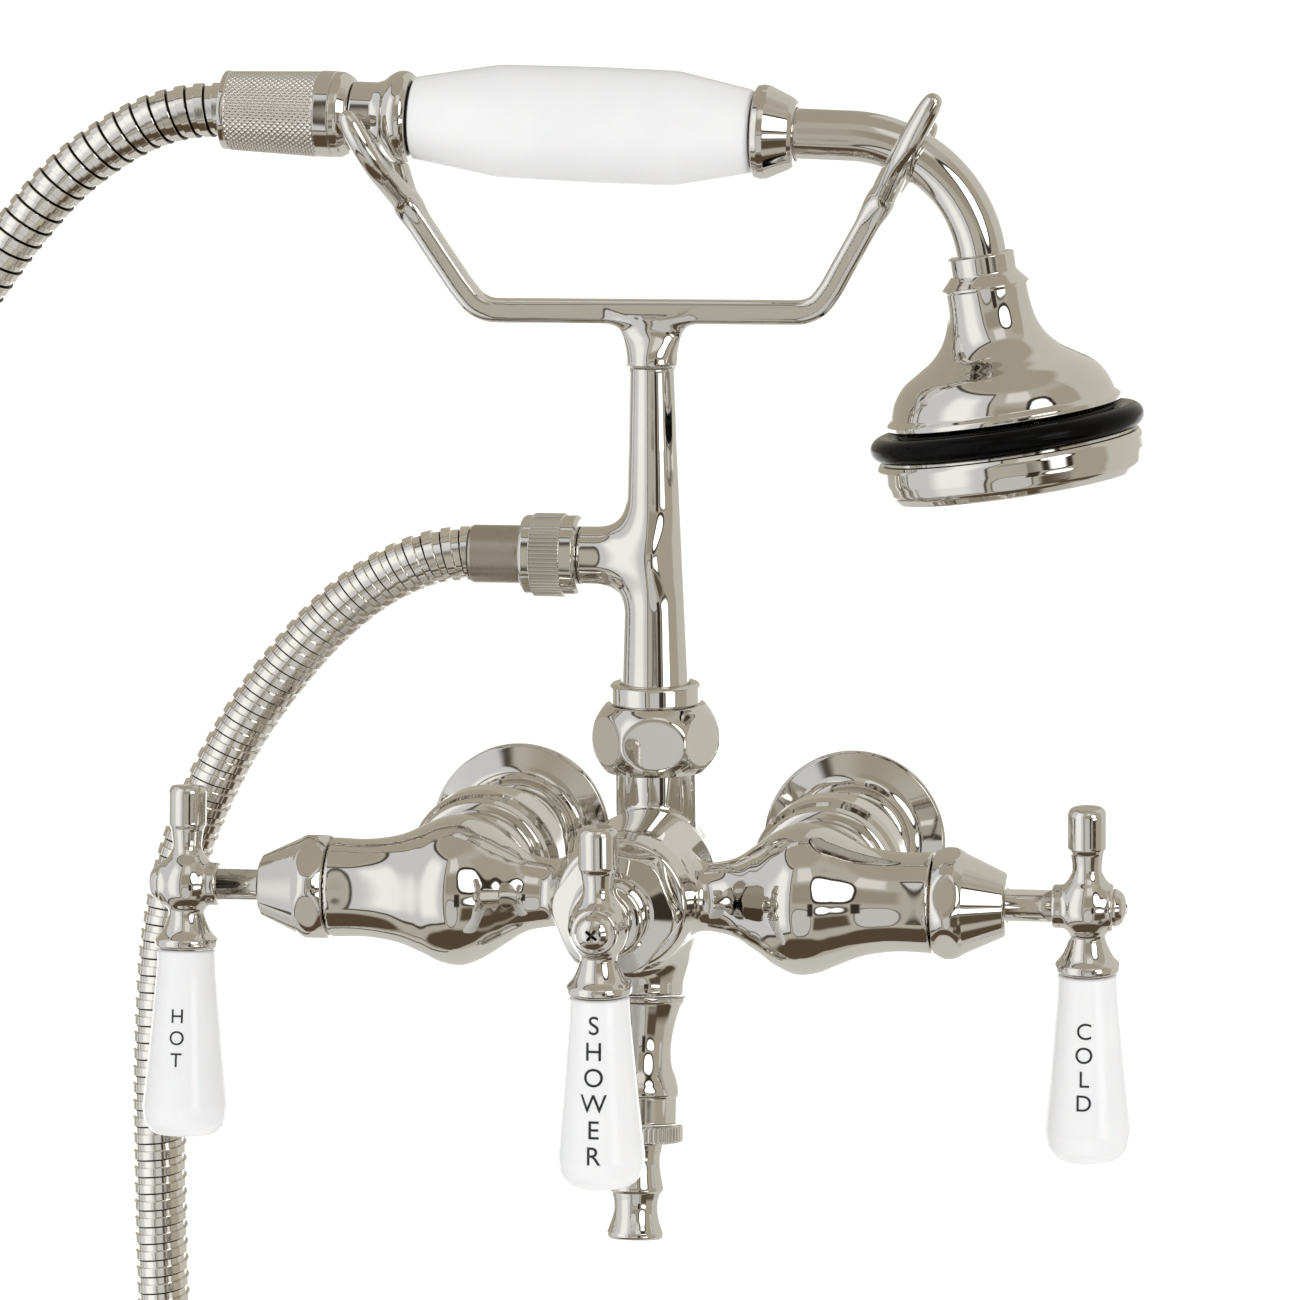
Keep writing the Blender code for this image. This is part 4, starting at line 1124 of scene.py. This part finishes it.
# ---- surroundings ----
def studio():
    """Pale floor, a bright even backdrop, and soft boxes and dark gaps for the metal to reflect."""
    mesh = bpy.data.meshes.new("floor")
    size, gap = 30.0, 0.004
    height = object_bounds()[0][2] - gap
    corners = [(x * size, y * size, height) for x, y in ((-1, -1), (1, -1), (1, 1), (-1, 1))]
    mesh.from_pydata(corners, [], [(0, 1, 2, 3)])
    floor = linked("floor", mesh)
    material, tree, shader = nodes_of("pale_floor")
    coloured(tree, shader, noise(tree, 3.0), (0.90, 0.90, 0.90), (0.93, 0.93, 0.93))
    shader.inputs["Roughness"].default_value = 0.9
    shader.inputs["Emission Color"].default_value = (1, 1, 1, 1)
    shader.inputs["Emission Strength"].default_value = 0.35
    mesh.materials.append(material)
    floor.visible_glossy = False
    floor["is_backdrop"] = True
    world()


def world():
    """Sky by direction: a warm grey room, soft boxes and dark seams, and plain white for the camera."""
    sky = bpy.data.worlds.new("studio")
    bpy.context.scene.world = sky
    sky.use_nodes = True
    nodes, links = sky.node_tree.nodes, sky.node_tree.links
    where = nodes.new("ShaderNodeTexCoord")
    split = nodes.new("ShaderNodeSeparateXYZ")
    links.new(where.outputs["Generated"], split.inputs[0])

    def math_node(kind, *values):
        node = nodes.new("ShaderNodeMath")
        node.operation = kind
        for i, value in enumerate(values):
            if isinstance(value, (int, float)):
                node.inputs[i].default_value = value
            else:
                links.new(value, node.inputs[i])
        return node.outputs[0]

    frontward = math_node("MULTIPLY", split.outputs[1], -1.0)
    azimuth = math_node("MULTIPLY", math_node("ARCTAN2", split.outputs[0], frontward), 180 / math.pi)
    elevation = math_node("MULTIPLY", math_node("ARCSINE", split.outputs[2]), 180 / math.pi)

    def step_up(value, edge, soft):
        node = nodes.new("ShaderNodeMapRange")
        node.interpolation_type = "SMOOTHSTEP"
        node.inputs["From Min"].default_value = edge - soft
        node.inputs["From Max"].default_value = edge + soft
        links.new(value, node.inputs["Value"])
        return node.outputs["Result"]

    def box(az, el, soft):
        left, right = step_up(azimuth, az[0], soft), step_up(azimuth, az[1], soft)
        low, high = step_up(elevation, el[0], soft), step_up(elevation, el[1], soft)
        return math_node("MULTIPLY", math_node("SUBTRACT", left, right), math_node("SUBTRACT", low, high))

    def oval(az, el, soft):
        squareness = 2.6
        reach = []
        for value, (low, high) in ((azimuth, az), (elevation, el)):
            part = math_node("DIVIDE", math_node("SUBTRACT", value, (low + high) / 2), (high - low) / 2)
            reach.append(math_node("POWER", math_node("ABSOLUTE", part), squareness))
        within = math_node("SUBTRACT", 1.0, math_node("ADD", *reach))
        return step_up(within, 0.0, squareness * 2 * soft / (el[1] - el[0]))

    def mixed(factor, under, over):
        mix = nodes.new("ShaderNodeMix")
        mix.data_type = "RGBA"
        links.new(factor, mix.inputs["Factor"])
        for socket, value in (("A", under), ("B", over)):
            if isinstance(value, tuple):
                mix.inputs[socket].default_value = (*value, 1)
            else:
                links.new(value, mix.inputs[socket])
        return mix.outputs["Result"]

    colour = ROOM
    for form, az, el, soft, shade in SKY:
        patch = oval(az, el, soft) if form == "oval" else box(az, el, soft)
        colour = mixed(patch, colour, shade)
    rays = nodes.new("ShaderNodeLightPath")
    base, front_gain = 0.62, 0.44
    fill = math_node("ADD", base, math_node("MULTIPLY", step_up(frontward, 0.1, 0.7), front_gain))
    colour = mixed(rays.outputs["Is Diffuse Ray"], colour, fill)
    colour = mixed(rays.outputs["Is Camera Ray"], colour, (1.0, 1.0, 1.0))
    links.new(colour, nodes["Background"].inputs["Color"])
    nodes["Background"].inputs["Strength"].default_value = 1.0


# The room's colour, and the patches laid over it in this order: form, azimuth range (0 is the faucet's
# front, 90 its cold side) and elevation range in degrees, softness of the edge, colour.
ROOM = (0.60, 0.57, 0.50)
SKY = [
    ("box", (-400, 400), (60, 120), 4.0, (0.50, 0.45, 0.37)),
    ("box", (-400, -110), (-4, 60), 5.0, (0.50, 0.46, 0.37)),
    ("box", (60, 98), (-30, 50), 4.0, (0.52, 0.475, 0.39)),
    ("box", (98, 400), (-30, 60), 4.0, (0.72, 0.70, 0.64)),
    ("box", (-400, -112), (-90, -24), 4.0, (0.74, 0.73, 0.69)),
    ("box", (112, 400), (-90, -24), 4.0, (0.74, 0.73, 0.69)),
    ("box", (-400, -128), (-30, -5), 2.5, (1.5, 1.5, 1.5)),
    ("box", (150, 400), (-26, -2), 2.5, (1.5, 1.5, 1.5)),
    ("box", (-100, 92), (-90, -50), 3.0, (0.12, 0.085, 0.055)),
    ("box", (-111, -13.5), (-41, 58), 1.0, (0.09, 0.075, 0.055)),
    ("box", (-107.5, -16), (-38, 55), 1.0, (0.80, 0.81, 0.84)),
    ("box", (-64, -30), (-30, 48), 8.0, (1.22, 1.23, 1.22)),
    ("oval", (-10, 28), (-48, -3), 1.0, (0.16, 0.14, 0.11)),
    ("oval", (-8.5, 26.5), (-46, -4.5), 1.0, (0.72, 0.72, 0.72)),
    ("box", (-8, 29), (5, 33), 4.0, (0.42, 0.385, 0.31)),
    ("box", (4, 36), (38, 58), 3.0, (0.94, 0.93, 0.90)),
    ("box", (20, 31), (-15, 4), 1.5, (0.05, 0.04, 0.03)),
    ("box", (34, 62), (-36, -16), 3.0, (0.13, 0.10, 0.065)),
    ("box", (58, 106), (-48, -29), 4.0, (0.11, 0.08, 0.05)),
    ("oval", (26.5, 64.5), (2, 42), 1.2, (0.04, 0.03, 0.02)),
    ("oval", (31, 60), (6, 38), 1.2, (2.8, 2.8, 2.8)),
    ("oval", (33, 64), (-15, 0), 1.0, (0.05, 0.04, 0.03)),
    ("oval", (37, 62), (-12.5, -1.5), 1.0, (2.4, 2.4, 2.4)),
]


def cad_materials():
    """The hidden CAD pieces, such as washers, studs and cartridges, get the finish of their slot."""
    for row in frame["record"]["subparts"]:
        obj = frame["nodes"][row["node"]]
        obj.data.materials.clear()
        obj.data.materials.append(FINISH[row["material_slot"]])


def main():
    bpy.context.scene.view_settings.view_transform = "Standard"
    camera()
    cad_materials()
    hose()
    body_casting()
    for side, name in ((-1, "hot"), (1, "cold")):
        inlet(side, f"{name}_inlet")
        side_valve(side, name)
    front_valve()
    handle("hot", (-HUB_X, BODY_Y, 0), (-1, 0, 0), "HOT", size=4.85, spacing=5.3)
    handle("cold", (HUB_X, BODY_Y, 0), (1, 0, 0), "COLD", size=5.55, spacing=5.7)
    handle("diverter", (0, BODY_Y - HUB_FRONT, 0), FRONT, "SHOWER", size=6.15, spacing=6.1)
    outlet()
    riser()
    cradle()
    handset()
    studio()


main()
